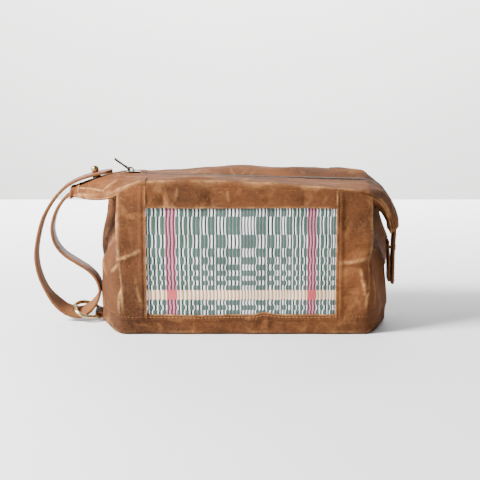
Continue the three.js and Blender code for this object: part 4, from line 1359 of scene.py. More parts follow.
@dataclass(frozen=True)
class WovenPanel:
    """The handwoven cotton panel sewn into the front."""

    form: BagForm
    looks: dict

    COLUMNS = (20, 55, 65, 60, 65, 50, 50, 50, 50, 65, 60, 63, 112, 102, 103, 150, 207, 218, 147, 113, 84, 80,
               90,
               50, 54, 52, 50, 43, 43, 44, 50, 54, 54, 42, 74)
    ROWS = (8.0, 18.0, 13.4, 8.7, 7.4, 6.0, 5.4, 4.7, 4.7, 5.4, 9.8, 5.0, 5.0, 5.0, 5.0)

    def build(self) -> list[Piece]:
        """Make the panel; its pattern's block counts are stored as values on the mesh."""
        form, z = self.form, self.form.size
        low, high = z.band - 2.5, z.weave_top + 2.0
        s0, s1 = z.seam_left - z.middle_x - 1.5, z.seam_right - z.middle_x + 1.5
        s = np.linspace(s0, s1, 300)
        height = np.linspace(low, high, 170)
        ss, hh = np.meshgrid(s, height, indexing="ij")
        puff = 0.22 * np.sin(ss / 5.1 + 0.8 * np.sin(hh / 17)) * np.sin(hh / 7.3 + 0.5 * np.sin(ss / 13))
        points, _ = form.wall(ss, hh, -0.25 + puff)
        u = ss - (z.seam_left - z.middle_x)
        v = hh - 18.3
        levels = 90.5 - np.cumsum((0,) + self.ROWS) * 0.858
        row = np.interp(-v, -levels, np.arange(len(levels)))
        widths = np.cumsum((0,) + self.COLUMNS) * (159.0 / sum(self.COLUMNS))
        threads = np.cumsum([0] + [max(1, round(w / 47)) for w in self.COLUMNS])
        drift = 0.30 * np.sin(math.pi * row) + 1.1 * smooth((60 - v) / 60) * np.exp(-(((u - 20) / 26) ** 2))
        column = np.interp(u - drift, widths, np.arange(len(widths)))
        thread = np.interp(u - drift, widths, threads)
        marks = {"column": column, "thread": thread, "row": row + 21}
        obj = shell("handwoven_front_panel", points, 0.9, np.stack([u, v], axis=-1), marks)
        dress(obj, self.looks["woven"], "bag", ["textile_panel"])
        return [obj]


@dataclass(frozen=True)
class TopCanvas:
    """Canvas over the top: the two halves of the mouth, the left wing and the right wing with its hanging end."""

    form: BagForm
    looks: dict

    LEFT = (Crease(6, 6, 34, 4, 1.3, 3.6, 0.7, 0.8), Crease(34, 4, 46, 16, 1.6, 5, 0.6, 0.7),
            Crease(10, 22, 40, 30, 1.1, 7, 0.3, 0.2), Crease(44, 30, 66, 22, 1.0, 6, 0.4, 0.4),
            Crease(46, 12, 62, 6, -1.4, 6, 0.3, 0.1))
    MID = (Crease(10, 12, 60, 10, 0.6, 6, 0.3, 0.3), Crease(70, 20, 140, 12, -0.7, 10, 0.2, 0.1))
    RIGHT = (Crease(6, 30, 30, 22, 0.9, 7, 0.3, 0.3), Crease(36, 16, 58, 9, 1.0, 5, 0.5, 0.5),
             Crease(20, 38, 34, 30, -1.2, 6, 0.3, 0.1), Crease(52, 10, 66, 4, 0.9, 3, 0.6, 0.7))

    def build(self) -> list[Piece]:
        """Make the halves front and back, and the folded cloth under the wings."""
        z = self.form.size
        made = []
        for word, side in (("front", -1), ("back", 1)):
            body = f"{word}_half"
            points, uv, wear, _ = self.form.top("left", side, 110, 60, self.LEFT, 3 + side)
            obj = shell(f"left_wing_canvas_{word}", points, z.canvas, uv, {"wear": wear}, flip=side < 0)
            made.append(dress(obj, self.looks["canvas"], "bag", [f"left_wing_{word}"]))
            points, uv, wear, _ = self.form.top("mid", side, 221, 60, self.MID, 9 + side)
            cut = 110
            for half, rows, start, end in (("left", slice(0, cut + 1), z.seam_left, z.seam_left + 80),
                                           ("right", slice(cut, 221), z.seam_right, z.seam_right - 79)):
                obj = shell(f"mouth_canvas_{word}_{half}", points[rows], z.canvas, uv[rows],
                            {"wear": wear[rows]}, flip=side < 0)
                dress(obj, self.looks["canvas"], body, [f"{word}_flap"], ride=False)
                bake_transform(obj)
                made.append(obj)
            points, uv, wear, _ = self.form.top("right", side, 150, 60, self.RIGHT, 21 + side)
            obj = shell(f"right_wing_canvas_{word}", points, z.canvas, uv, {"wear": wear}, flip=side < 0)
            dress(obj, self.looks["canvas"], "hanging_end",
                  [f"right_wing_{word}", f"hanging_wing_{word}"], ride=False)
            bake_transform(obj)
            made.append(obj)
        made.append(self._underside("left", -1))
        made.append(self._underside("right", 1))
        made.append(self._wing_end())
        return made

    def _underside(self, part: str, side: int) -> Piece:
        """The end panel's folded cloth, carried on under the wing to its tip."""
        form = self.form
        edges = []
        n, m = 80, 61
        t = np.linspace(0, 1, n)
        stops = form.top_plan[side][3]
        for word, face in (("front", -1), ("back", 1)):
            st = form.top_stations(part, 300, face)
            a, xs, _, _ = form.top_plan[side]
            corner = form.size.middle_x + side * np.interp(stops[word], a, xs)
            if part == "left":
                x = corner + (-151.0 - corner) * t
                edges.append([np.interp(x, st["ex"], st[c]) for c in ("ex", "ey", "ez")])
            else:
                first = np.interp(corner, st["ex"], st["k"])
                k = first + (st["k"][-1] - first) * t
                edges.append([np.interp(k, st["k"], st[c]) for c in ("ex", "ey", "ez")])
        if part == "left":
            vx = -88.0 - 62.0 * t
            vz = table([(0, 114.0), (0.3, 115.5), (0.7, 116.5), (1, 115.5)], t)
        else:
            vx = table([(0, 84.0), (0.3, 104.0), (0.6, 118.5), (0.8, 124.5), (1, 128.5)], t)
            vz = table([(0, 111.5), (0.3, 107.5), (0.6, 97.0), (0.8, 88.5), (1, 80.0)], t)
        q = np.linspace(-1, 1, m)[None]
        lean = np.abs(q)
        pick = [np.where(q < 0, f[:, None], b[:, None]) for f, b in zip(*edges)]
        x = vx[:, None] + (pick[0] - vx[:, None]) * lean
        y = q * pick[1]
        zz = vz[:, None] + (pick[2] - vz[:, None]) * lean - 1.6 * np.sin(math.pi * lean)
        a = np.where(q < 0, stops["valley"] - (stops["valley"] - stops["front"]) * lean,
                     stops["valley"] + (stops["back"] - stops["valley"]) * lean)
        wall, _ = form.wall(side * a, form.wall_top(side * a) - 0.3, 0.0)
        away = t[:, None]
        pull = (1 - smooth(away / 0.22))[..., None]
        points = np.stack([x, y, zz], axis=-1)
        points = points * (1 - pull) + wall * pull
        uv = np.stack([away * 60 + 0 * q, y], axis=-1)
        wear = 0.5 * np.exp(-(((lean - 1) / 0.04) ** 2)) + 0 * x
        obj = shell(f"folded_cloth_{part}", points, form.size.canvas * 0.8, uv, {"wear": wear}, flip=side < 0)
        if part == "left":
            return dress(obj, self.looks["canvas"], "bag")
        dress(obj, self.looks["canvas"], "hanging_end", ride=False)
        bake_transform(obj)
        return obj

    def _wing_end(self) -> Piece:
        """The tip of the left wing: the cloth folded over and sewn flat round the end of the strap."""
        n = 26
        t = np.linspace(0, 1, n)
        x = -151.6 + 8.6 * t
        cap = np.sqrt(np.clip(1 - (1 - np.clip(t / 0.16, 0, 1)) ** 2, 0.02, 1))
        centre = np.stack([x, 0 * x, 117.2 + 0.30 * (x + 147)], axis=-1)
        across = np.tile([0.0, 1.0, 0.0], (n, 1))
        up = np.tile([0.0, 0.0, 1.0], (n, 1))
        angle = np.linspace(0, 2 * math.pi, 56, endpoint=False)
        wide = np.sign(np.cos(angle)) * np.abs(np.cos(angle)) ** 0.62 * 15.2
        tall = np.sign(np.sin(angle)) * np.abs(np.sin(angle)) ** 0.75 * 4.3 - 0.014 * wide**2
        tall = tall + 0.35 * np.sin(wide * 0.9)
        section = np.stack([wide, tall], axis=-1)[None] * (0.55 + 0.45 * cap)[:, None, None]
        swell = 1 + 0.05 * np.sin(t * 9)[:, None, None]
        wear = 0.85 * np.exp(-(((t - 0.93) / 0.08) ** 2)) + 0.5 * np.exp(-(((t - 0.05) / 0.05) ** 2))
        obj = sweep("left_wing_end_fold", centre, across, up, section * swell,
                    {"wear": np.repeat(wear[:, None], 56, axis=1)})
        return dress(obj, self.looks["canvas"], "bag", ["left_wing_end"])


@dataclass(frozen=True)
class Zipper:
    """The mouth's zip: two tapes, two rows of shaped teeth, stops, slider and pull."""

    form: BagForm
    looks: dict

    PITCH = 2.54

    def _line(self, k: Array) -> Array:
        """Zip line over a running length from x = -109: its centre points."""
        z = self.form.size
        x = -109.0 + np.asarray(k, float)
        straight = np.stack([x, 0 * x, z.zip_z + self.form.sag(x)], axis=-1)
        bend = [(96.0, None), (100.0, None), (104.4, 124.9), (111.6, 122.1), (118.0, 118.1), (121.8, 114.3),
                (126.9, 106.5), (130.9, 99.3), (133.0, 92.8), (133.6, 84.5)]
        stations = np.array([(a, z.zip_z + self.form.sag(a) if b is None else b) for a, b in bend])
        run = np.r_[0, np.cumsum(np.linalg.norm(np.diff(stations, axis=0), axis=1))]
        over = np.maximum(0, x - 96.0)
        bx = soft_table(np.stack([run, stations[:, 0]], axis=1), over, 2.5)
        bz = soft_table(np.stack([run, stations[:, 1]], axis=1), over, 2.5)
        mix = smooth((x - 97.0) / 5.0)[..., None]
        folded = np.stack([bx, 0 * bx, bz], axis=-1)
        return straight * (1 - mix) + folded * mix

    def _frame(self, k: Array) -> tuple[Array, Array, Array]:
        """Centre, unit direction and upward normal of the zip line."""
        centre = self._line(k)
        along = self._line(np.asarray(k) + 0.2) - self._line(np.asarray(k) - 0.2)
        along /= np.linalg.norm(along, axis=-1, keepdims=True)
        normal = np.stack([-along[..., 2], 0 * along[..., 0], along[..., 0]], axis=-1)
        return centre, along, normal

    def build(self) -> list[Piece]:
        """Make tapes and teeth in three runs each side, then the stops, slider and pull."""
        made = []
        z = self.form.size
        total = 109.0 + 96.0 + 45.0
        runs = (("left", 1.0, z.seam_left + 109.0), ("mid left", z.seam_left + 109.0, 105.7),
                ("mid right", 105.7, z.seam_right + 109.0), ("right", z.seam_right + 109.0, total - 5.0))
        nodes = {"left": ["left"], "mid left": ["mid"], "mid right": ["mid"], "right": ["right", "end"]}
        for word, side in (("front", -1), ("back", 1)):
            for name, k0, k1 in runs:
                tape = self._tape(f"zip_tape_cloth_{word}_{name}".replace(" ", "_"), side, k0, k1)
                teeth = self._teeth(f"zip_tooth_row_{word}_{name}".replace(" ", "_"), side, max(k0, 4.2),
                                    min(k1, total - 9.5))
                for obj, look, slot, kind in ((tape, "tape", Slot.TAPE, "tape"),
                                              (teeth, "zip_teeth", Slot.DARK_BRASS, "teeth")):
                    cad = [f"zip_{kind}_{word}_{n}" for n in nodes[name]]
                    if name == "left":
                        dress(obj, self.looks[look], "bag", cad)
                    elif name == "right":
                        dress(obj, self.looks[look], "hanging_end", cad, ride=False)
                        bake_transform(obj)
                    else:
                        dress(obj, self.looks[look], f"{word}_half", cad, ride=False)
                        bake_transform(obj)
                    made.append(obj)
            stop = self._top_stop(f"zip_top_stop_{word}", side)
            made.append(dress(stop, self.looks["dark_brass"], "bag", [f"top_stop_{word}"]))
        made.append(self._bottom_stop(total - 8.6))
        made += self._slider()
        return made

    def _tape(self, name: str, side: int, k0: float, k1: float) -> Piece:
        """One tape: flat beside the teeth, with a corded edge, stepping down under the canvas."""
        k = np.linspace(k0, k1, max(8, int((k1 - k0) / 1.3)))
        centre, _, normal = self._frame(k)
        narrow = table([(-109, 0.75), (-104, 1.0)],
                       k - 109.0) * table([(0, 9.0), (205, 9.0), (215, 6.4), (250, 2.9)], k)
        q = np.linspace(0, 1, 22)[None]
        y = side * (0.55 + q * narrow[:, None])
        across = q * narrow[:, None]
        drop = -0.1 - 0.9 * smooth((across - 3.0) / 1.3)
        cord = 0.55 * np.exp(-(((across - 0.3) / 0.5) ** 2))
        points = centre[:, None] + normal[:, None] * (drop + cord)[..., None]
        points[..., 1] = y
        uv = np.stack([k[:, None] + 0 * q, y], axis=-1)
        return shell(name, points, 0.6, uv, {"wear": 0 * y}, flip=side < 0)

    def _tooth(self) -> tuple[Array, list]:
        """One tooth: two legs clamped on the tape's edge and a shaped head that locks past the middle."""
        head = [(-0.62, 0.78), (-0.2, 1.0), (0.45, 1.06), (0.95, 0.8), (1.05, 0.3), (1.05, -0.3),
                (0.95, -0.8),
                (0.45, -1.06), (-0.2, -1.0), (-0.62, -0.74), (-0.95, -0.74), (-2.1, -0.74), (-2.75, -0.62),
                (-2.85, -0.3), (-2.85, 0.3), (-2.75, 0.62), (-2.1, 0.74), (-0.95, 0.74)]
        outline = np.array(head)
        levels = [(-1.15, 0.72), (-0.95, 0.94), (-0.5, 1.0), (0.45, 1.0), (0.9, 0.92), (1.12, 0.72)]
        verts, n = [], len(outline)
        for level, share in levels:
            for across, along in outline:
                verts.append((along * share, (across + 0.9) * share - 0.9, level))
        faces = []
        for r in range(len(levels) - 1):
            for c in range(n):
                a, b = r * n + c, r * n + (c + 1) % n
                faces.append([a, b, b + n, a + n])
        faces.append(list(range(n))[::-1])
        faces.append([(len(levels) - 1) * n + c for c in range(n)])
        return np.array(verts), faces

    def _teeth(self, name: str, side: int, k0: float, k1: float) -> Piece:
        """A row of teeth at the pitch; the back row is half a pitch on."""
        shape, faces = self._tooth()
        phase = 0.0 if side < 0 else self.PITCH / 2
        first = math.ceil((k0 - phase) / self.PITCH)
        last = math.floor((k1 - phase) / self.PITCH)
        k = phase + self.PITCH * np.arange(first, last + 1)
        centre, along, normal = self._frame(k)
        verts, all_faces, uv = [], [], []
        for n in range(len(k)):
            p = shape
            at = (centre[n] + along[n] * (p[:, :1] * 0.98) + normal[n] * (p[:, 2:] + 0.3)
                  + np.array([0.0, -side, 0.0]) * (p[:, 1:2] - 0.55))
            base = len(verts)
            verts.extend(at)
            all_faces += [[base + i for i in f] for f in faces]
            uv.extend(p[:, :2] + k[n])
        return face_outward(new_object(name, verts, all_faces, uv))

    def _top_stop(self, name: str, side: int) -> Piece:
        """Small clamped block at the start of one row."""
        centre, _, _ = self._frame(np.array([2.0]))
        section = rounded_section(2.8, 2.7, 0.9)
        x = centre[0, 0] + np.array([-1.45, -1.3, -0.4, 0.4, 1.3, 1.45])
        girth = np.array([0.6, 0.95, 1.0, 1.0, 0.95, 0.6])
        line = np.stack([x, 0 * x + side * 2.05, 0 * x + centre[0, 2]], axis=-1)
        return sweep(name, line, np.tile([0.0, 1.0, 0.0], (6, 1)), np.tile([0.0, 0.0, 1.0], (6, 1)),
                     section[None] * girth[:, None, None])

    def _bottom_stop(self, k: float) -> Piece:
        """Wider clamped block across both rows at the end."""
        centre, _, normal = self._frame(np.array([k - 1.5, k - 1.3, k, k + 1.3, k + 1.5]))
        girth = np.array([0.6, 0.95, 1.0, 0.95, 0.6])
        section = rounded_section(4.4, 2.7, 0.8)
        obj = sweep("zip_bottom_stop", centre, np.tile([0.0, 1.0, 0.0], (5, 1)), normal,
                    section[None] * girth[:, None, None])
        return dress(obj, self.looks["dark_brass"], "hanging_end", ["bottom_stop"])

    def _slider(self) -> list[Piece]:
        """Slider: two plates shaped like a shield, joined by a post, with a bridge for the pull."""
        z = self.form.size
        tilt = Matrix.Translation((z.zip_x0, 0, z.zip_z)) @ Matrix.Rotation(0.0256, 4, "Y")
        half = [(-6.5, 2.6), (-5.9, 3.7), (-4.6, 4.5), (-2.6, 4.9), (0.4, 4.7), (3.4, 4.1), (5.4, 3.7),
                (6.3, 3.2),
                (6.5, 2.4)]
        outline = half + [(x, -y) for x, y in half[::-1]]
        upper = prism("slider_upper_plate", outline, None, 1.3, 0.5)
        upper.data.transform(Matrix.Translation((0, 0, 2.2 * MM)))
        lower = prism("slider_lower_plate", outline, None, 1.2, 0.45)
        lower.data.transform(Matrix.Translation((0, 0, -2.25 * MM)))
        sides = []
        for side in (-1, 1):
            x = np.linspace(0.5, 6.2, 9)
            y = side * np.interp(x, [0.5, 3.4, 6.2], [4.35, 3.8, 3.2])
            line = np.stack([x, y, 0 * x + 1.0], axis=-1)
            sides.append(sweep("slider_flange", line, np.tile([0.0, 1.0, 0.0], (9, 1)),
                               np.tile([0.0, 0, 1], (9, 1)),
                               rounded_section(1.0, 1.7, 0.4)))
        side_view = [(-5.2, 2.5), (-5.2, 5.3), (-4.9, 6.0), (-4.2, 6.45), (-1.5, 6.45), (-0.8, 6.1),
                     (0.2, 4.9),
                     (1.3, 3.3), (1.7, 2.5)]
        window = [(-4.15, 3.2), (-3.9, 2.9), (-0.3, 2.9), (0.0, 3.15), (-1.35, 5.2), (-1.8, 5.5), (-3.9, 5.5),
                  (-4.15, 5.2)]
        crown = prism("slider_bridge", side_view, window, 2.4, 0.45)
        crown.data.transform(Matrix.Rotation(math.radians(90), 4, "X"))
        post = prism("slider_post", [(-0.75 + 0.35 * math.cos(a), 0.4 * math.sin(a)) for a in
                                     np.linspace(0, 2 * math.pi, 16, endpoint=False)], None, 3.6, 0.05)
        post.data.transform(Matrix.Translation((-5.0 * MM, 0, 0)))
        body = merge("zip_slider_metal", [upper, lower, *sides, crown, post])
        place(body, tilt)
        dress(body, self.looks["dark_brass"], "slider", ["slider_body"])
        return [body, self._pull(tilt)]

    def _pull(self, tilt: Matrix) -> Piece:
        """Flat pull: an eye at the bridge, a waist, a longer slot and a rounded tip."""
        half = [(-0.7, 1.7), (-0.45, 2.5), (0.4, 2.8), (3.0, 2.85), (5.2, 2.6), (7.0, 2.2), (9.0, 2.5),
                (12.0, 3.0),
                (14.4, 3.0), (15.6, 2.3), (16.2, 1.0)]
        outline = half + [(x, -y) for x, y in half[::-1]]
        angle = np.linspace(0, 2 * math.pi, 28, endpoint=False)
        eye = [(2.95 + 2.3 * math.copysign(abs(math.cos(a)) ** 0.6, math.cos(a)),
                1.6 * math.copysign(abs(math.sin(a)) ** 0.6, math.sin(a))) for a in angle]
        plate = prism("zip_pull_metal", outline, eye, 1.5, 0.5)
        boss = lathe("zip_pull_boss", [(0.0, 0.4), (2.0, 0.45), (2.2, 0.62), (2.1, 0.86), (1.6, 0.98),
                                       (1.3, 0.86),
                                       (0.0, 0.84)], 30)
        boss.data.transform(Matrix.Translation((11.6 * MM, 0, 0)))
        pull = merge("zip_pull_metal", [plate, boss])
        turn = Matrix.Rotation(math.radians(180 + 35.0), 4, "Y")
        place(pull, turn)
        place(pull, Matrix.Translation((-3.3, 0, 4.2)))
        place(pull, tilt)
        return dress(pull, self.looks["dark_brass"], "pull", ["pull_tab"])


@dataclass(frozen=True)
class WristStrap:
    """Leather wrist strap with its stud, and the ring and leather tab that keep its end."""

    form: BagForm
    looks: dict

    CENTRE = ((-115, 133.4), (-119, 132.9), (-123, 132.2), (-129.4, 130.9), (-138, 128.5), (-146, 125.5),
              (-151, 122.9), (-155.8, 119.6), (-162, 113.6), (-167.2, 107.2), (-172.8, 98.5), (-176.8, 90),
              (-181.4, 72.6), (-183.2, 57.7), (-180.6, 41.2), (-172.4, 23.9), (-160.6, 11.4), (-154, 8.2),
              (-147, 6.9), (-140.2, 9.1), (-134, 14.5), (-129.3, 22), (-127.6, 30), (-130.4, 38.5),
              (-137, 46),
              (-147.5, 53), (-158.5, 60.5), (-165.5, 69.5), (-168.3, 80.5), (-167.3, 90), (-163.6, 100),
              (-158.6, 107.4), (-154.2, 111.6), (-150.2, 113.6), (-146.6, 114.1), (-143, 113.9))
    WIDTH = 17.0
    THICK = 2.8
    LEAN = math.radians(18.6)

    def _line(self, count: int) -> Array:
        """Centre line of the strap as an eased curve through its stations."""
        p = np.array(self.CENTRE, float)
        d = np.r_[0, np.cumsum(np.sqrt(np.linalg.norm(np.diff(p, axis=0), axis=1)))]
        t = np.linspace(0, d[-1], count)
        seg = np.clip(np.searchsorted(d, t, side="right") - 1, 0, len(p) - 2)
        m = np.gradient(p, d, axis=0)
        h = (d[seg + 1] - d[seg])[:, None]
        u = ((t - d[seg])[:, None]) / h
        return ((2 * u**3 - 3 * u**2 + 1) * p[seg] + (u**3 - 2 * u**2 + u) * h * m[seg]
                + (-2 * u**3 + 3 * u**2) * p[seg + 1] + (u**3 - u**2) * h * m[seg + 1])

    def build(self) -> list[Piece]:
        """Make the strap, stud, ring and tab."""
        return [self._strap(), *self._stud(), self._ring(), self._tab()]

    def _strap(self) -> Piece:
        """The strap: a flat section with rounded edges and a pressed line, carried along its centre line."""
        fine = self._line(2400)
        run = np.r_[0, np.cumsum(np.linalg.norm(np.diff(fine, axis=0), axis=1))]
        radius = self.WIDTH / 2
        start = radius * (1 - np.cos(np.linspace(0.0, 1, 14) * math.pi / 2))
        body = np.linspace(radius, run[-1], 330)[1:]
        k = np.concatenate([start[:-1], [radius], body])
        k[0] = 0.02
        xz = np.stack([np.interp(k, run, fine[:, 0]), np.interp(k, run, fine[:, 1])], axis=-1)
        ahead = np.stack([np.interp(k + 0.6, run, fine[:, 0]), np.interp(k + 0.6, run, fine[:, 1])], axis=-1)
        behind = np.stack([np.interp(k - 0.6, run, fine[:, 0]), np.interp(k - 0.6, run, fine[:, 1])], axis=-1)
        tangent = ahead - behind
        tangent /= np.linalg.norm(tangent, axis=1, keepdims=True)
        half = np.where(k < radius, np.sqrt(np.clip(radius**2 - (radius - k) ** 2, 0.04, None)), radius)
        x, zz = xz.T
        lean = self.LEAN * smooth(1 - np.abs(zz - 10) / 36) * smooth((-118 - x) / 6) * (k > 150)
        lean = np.convolve(np.pad(lean, 6, mode="edge"), np.ones(13) / 13, "valid")
        across = np.stack([0 * x, np.cos(lean), np.sin(lean)], axis=-1)
        along = np.stack([tangent[:, 0], 0 * x, tangent[:, 1]], axis=-1)
        across -= along * np.sum(across * along, axis=1, keepdims=True)
        across /= np.linalg.norm(across, axis=1, keepdims=True)
        normal = np.cross(across, along)
        want = np.stack([tangent[:, 1], 0 * x, -tangent[:, 0]], axis=-1)
        normal *= np.sign(np.sum(normal * want, axis=1, keepdims=True))
        t = np.linspace(-1, 1, 21)
        edge = np.array([(1, 0.62), (1.012, 0.3), (1.015, 0.0), (1.012, -0.3), (1, -0.62)])
        crown = 0.5 - 0.10 * np.abs(t) ** 6
        groove = -0.06 * np.exp(-(((np.abs(t) - 0.80) / 0.035) ** 2))
        section = ([(a, c + g) for a, c, g in zip(t, crown, groove)]
                   + [(e[0], e[1] * 0.5) for e in edge[1:-1]]
                   + [(a, -c + 0.0) for a, c in zip(t[::-1], crown[::-1])]
                   + [(-e[0], e[1] * 0.5) for e in edge[1:-1][::-1]])
        section = np.array(section)
        full = np.repeat(section[None], len(k), axis=0)
        full[..., 0] *= half[:, None]
        full[..., 1] *= self.THICK
        uneven = ripple(k[:, None], section[None, :, 0] * 8, 31, 40, 0.10)
        full[..., 1] += uneven
        full[..., 0] *= 1 + 0.008 * np.sin(k / 17.0)[:, None] + 0.006 * np.sin(k / 5.3)[:, None]
        fray = np.random.default_rng(12).normal(0, 0.13, (len(k), 1)) * (np.abs(section[None, :, 0]) > 0.99)
        full[..., 0] += fray * np.sign(section[None, :, 0])
        centre = np.stack([x, 0 * x, zz], axis=-1)
        grain = np.zeros((len(k), len(section)))
        grain[:, :21] = 1.0
        grain[:, 0] = grain[:, 20] = 0.6
        obj = sweep("leather_wrist_strap", centre, across, normal, full, {"grain_side": grain})
        return dress(obj, self.looks["leather"], "bag", ["wrist_strap"])

    def _stud(self) -> list[Piece]:
        """Button stud and the screw that holds it from below."""
        lean = Matrix.Translation((-129.4, 0, 130.9)) @ Matrix.Rotation(-0.235, 4, "Y")
        stud = lathe("brass_strap_stud", [(0.0, -3.2), (3.4, -3.2), (3.7, -2.9), (3.7, -2.4), (3.3, -2.15),
                                          (1.7, -2.0),
                                    (1.5, -1.4), (1.5, 0.4), (1.75, 0.9), (2.5, 1.5), (3.05, 2.4),
                                    (3.35, 3.4),
                                    (3.4, 4.3), (3.15, 5.4), (2.5, 6.4), (1.4, 7.0), (0.0, 7.2)], 56)
        place(stud, lean)
        screw = lathe("brass_stud_screw", [(0.0, -8.6), (3.1, -8.6), (3.7, -8.2), (3.8, -7.7), (3.6, -7.3),
                                           (1.4, -7.1),
                                     (1.4, -3.6), (0.0, -3.6)], 40)
        place(screw, lean)
        dress(stud, self.looks["brass"], "bag", ["strap_stud"])
        dress(screw, self.looks["brass"], "bag", ["stud_screw"])
        return [stud, screw]

    def _ring(self) -> Piece:
        """Round wire ring, leaning with the strap."""
        n, m, radius, wire = 110, 18, 11.65, 1.65
        a = np.linspace(0, 2 * math.pi, n, endpoint=False)
        centre = np.stack([radius * np.cos(a), radius * np.sin(a), 0 * a], axis=-1)
        out = np.stack([np.cos(a), np.sin(a), 0 * a], axis=-1)
        up = np.tile([0.0, 0.0, 1.0], (n, 1))
        b = np.linspace(0, 2 * math.pi, m, endpoint=False)
        section = np.stack([wire * np.cos(b), wire * np.sin(b)], axis=-1)
        ring = sweep("brass_strap_ring", centre, out, up, section, closed=True)
        move = (Matrix.Translation((-128.2, 0, 6.8)) @ Matrix.Rotation(self.LEAN, 4, "X")
                @ Matrix.Rotation(math.radians(15), 4, "Y") @ Matrix.Translation((-radius, 0, 0)))
        place(ring, move)
        return dress(ring, self.looks["brass"], "swing_ring", ["ring"])

    def _tab(self) -> Piece:
        """Leather tab folded round the ring, its two tails sewn into the corner."""
        hole, wall, tail = 1.95, 1.6, 3.0
        outer, inner = [], []
        for a in np.linspace(math.radians(90), math.radians(270), 25):
            outer.append((-1.0 + (hole + wall) * math.cos(a), (hole + wall) * math.sin(a)))
            inner.append((-1.0 + hole * math.cos(a), hole * math.sin(a)))
        top = [(x, np.interp(x, [-1, 0.6, 2.4], [hole + wall, 3.2, 2.3])) for x in np.linspace(-1, tail - 0.6,
                                                                                               7)[1:]]
        low = [(x, -y) for x, y in top[::-1]]
        outline = [*top[::-1], *outer, *low[::-1]]
        eye = [*inner, *[(x, -hole * math.cos(t)) for x,
                         t in zip(np.linspace(-1, 1.2, 5)[1:], np.linspace(0, 0.9, 5)[1:])],
               (1.7, 0.0),
               *[(x, hole * math.cos(t)) for x, t in zip(np.linspace(-1, 1.2, 5)[1:],
                                                         np.linspace(0, 0.9, 5)[1:])][::-1]]
        tab = prism("leather_ring_tab", outline, eye, 9.6, 0.35)
        tab.data.transform(Matrix.Rotation(math.pi / 2, 4, "X"))
        grain = tab.data.attributes.new("grain_side", "FLOAT", "POINT")
        reach = [0.15 if abs(v.co.y) > 4.5 * MM else 0.85 for v in tab.data.vertices]
        grain.data.foreach_set("value", np.array(reach, np.float32))
        place(tab, Matrix.Translation((-128.2, 0, 6.8)) @ Matrix.Rotation(self.LEAN, 4, "X"))
        return dress(tab, self.looks["leather"], "bag", ["ring_tab"])


@dataclass(frozen=True)
class EndTab:
    """Two leather layers riveted over the end of the zip, hanging at the right end."""

    looks: dict

    OUTER = ((33.8, 129.9), (45, 129.6), (60, 129.4), (72, 130), (84, 130.8))
    INNER = ((36, 126.6), (45, 126.2), (60, 125.4), (73, 124.9))

    def build(self) -> list[Piece]:
        """Make the outer layer, the inner layer and the rivet."""
        made = [self._layer("end_tab_outer_leather", self.OUTER, 2.4, 10.0, "end_tab_outer", 4.0, 1.0),
                self._layer("end_tab_inner_leather", self.INNER, 1.6, 9.5, "end_tab_inner", 3.5, -1.0)]
        rivet = lathe("brass_end_tab_rivet", [(0.0, -4.6), (2.2, -4.5), (3.0, -4.1), (3.2, -3.6), (3.1, -3.3),
                                              (1.4, -3.2),
                                        (1.4, 3.2), (3.2, 3.3), (3.4, 3.6), (3.1, 4.1), (2.0, 4.42),
                                        (0.0, 4.5)], 44)
        place(rivet, Matrix.Translation((128.1, 0, 66)) @ Matrix.Rotation(math.pi / 2, 4, "Y"))
        made.append(dress(rivet, self.looks["brass"], "hanging_end", ["end_tab_rivet"]))
        line = np.array(self.OUTER)
        zz = np.linspace(36.3, 81.5, 60)
        x = soft_table(line, zz, 3) + 1.15
        for word, y in (("front", -8.1), ("back", 8.1)):
            points = np.stack([x, 0 * x + y, zz], axis=-1)
            normals = np.tile([1.0, 0.0, 0.0], (60, 1))
            made.append(dress(stitches(f"end_tab_stitching_{word}", points, normals), self.looks["thread"],
                              "hanging_end"))
        return made

    def _layer(self, name: str, stations: Sequence, thick: float, half: float, node: str, corner: float,
               grain_out: float) -> Piece:
        """One leather layer, hanging along its stations, with rounded lower corners.

        Args:
            stations: (height, x) pairs. thick, half, corner: thickness, half width and corner radius in mm.
            node: CAD node it stands for. grain_out: above 0 puts the grain side outward.
        Returns:
            The dressed piece.
        """
        z0, z1 = stations[0][0], stations[-1][0]
        zz = np.concatenate([z0 + corner * (1 - np.cos(np.linspace(0, 1, 10) * math.pi / 2)),
                             np.linspace(z0 + corner, z1, 70)[1:]])
        x = soft_table(np.array(stations), zz, 3) + 0.25 * np.sin(zz / 7.0)
        wide = half - corner + np.sqrt(np.clip(corner**2 - np.clip(z0 + corner - zz, 0, corner) ** 2, 0.01,
                                               None))
        t = np.linspace(-1, 1, 17)
        flat = 0.5 - 0.10 * np.abs(t) ** 6
        section = np.array([(a, c) for a, c in zip(t, flat)] + [(1.012, 0.15), (1.012, -0.15)]
                           + [(a, -c) for a, c in zip(t[::-1], flat[::-1])] + [(-1.012, -0.15),
                                                                               (-1.012, 0.15)])
        full = np.repeat(section[None], len(zz), axis=0)
        full[..., 0] *= wide[:, None]
        full[..., 1] *= thick
        bow = 0.5 * section[None, :, 0] ** 2 * np.sin(zz / 9.0)[:, None]
        full[..., 1] += bow * 0.35
        centre = np.stack([x, 0 * x, zz], axis=-1)
        grain = np.zeros((len(zz), len(section)))
        if grain_out > 0:
            grain[:, :17] = 1.0
        else:
            grain[:, 19:36] = 1.0
        obj = sweep(name, centre, np.tile([0.0, 1.0, 0.0], (len(zz), 1)),
                    np.tile([1.0, 0.0, 0.0], (len(zz), 1)),
                    full, {"grain_side": grain})
        return dress(obj, self.looks["leather"], "hanging_end", [node])


# ---------------------------------------------------------------- studio


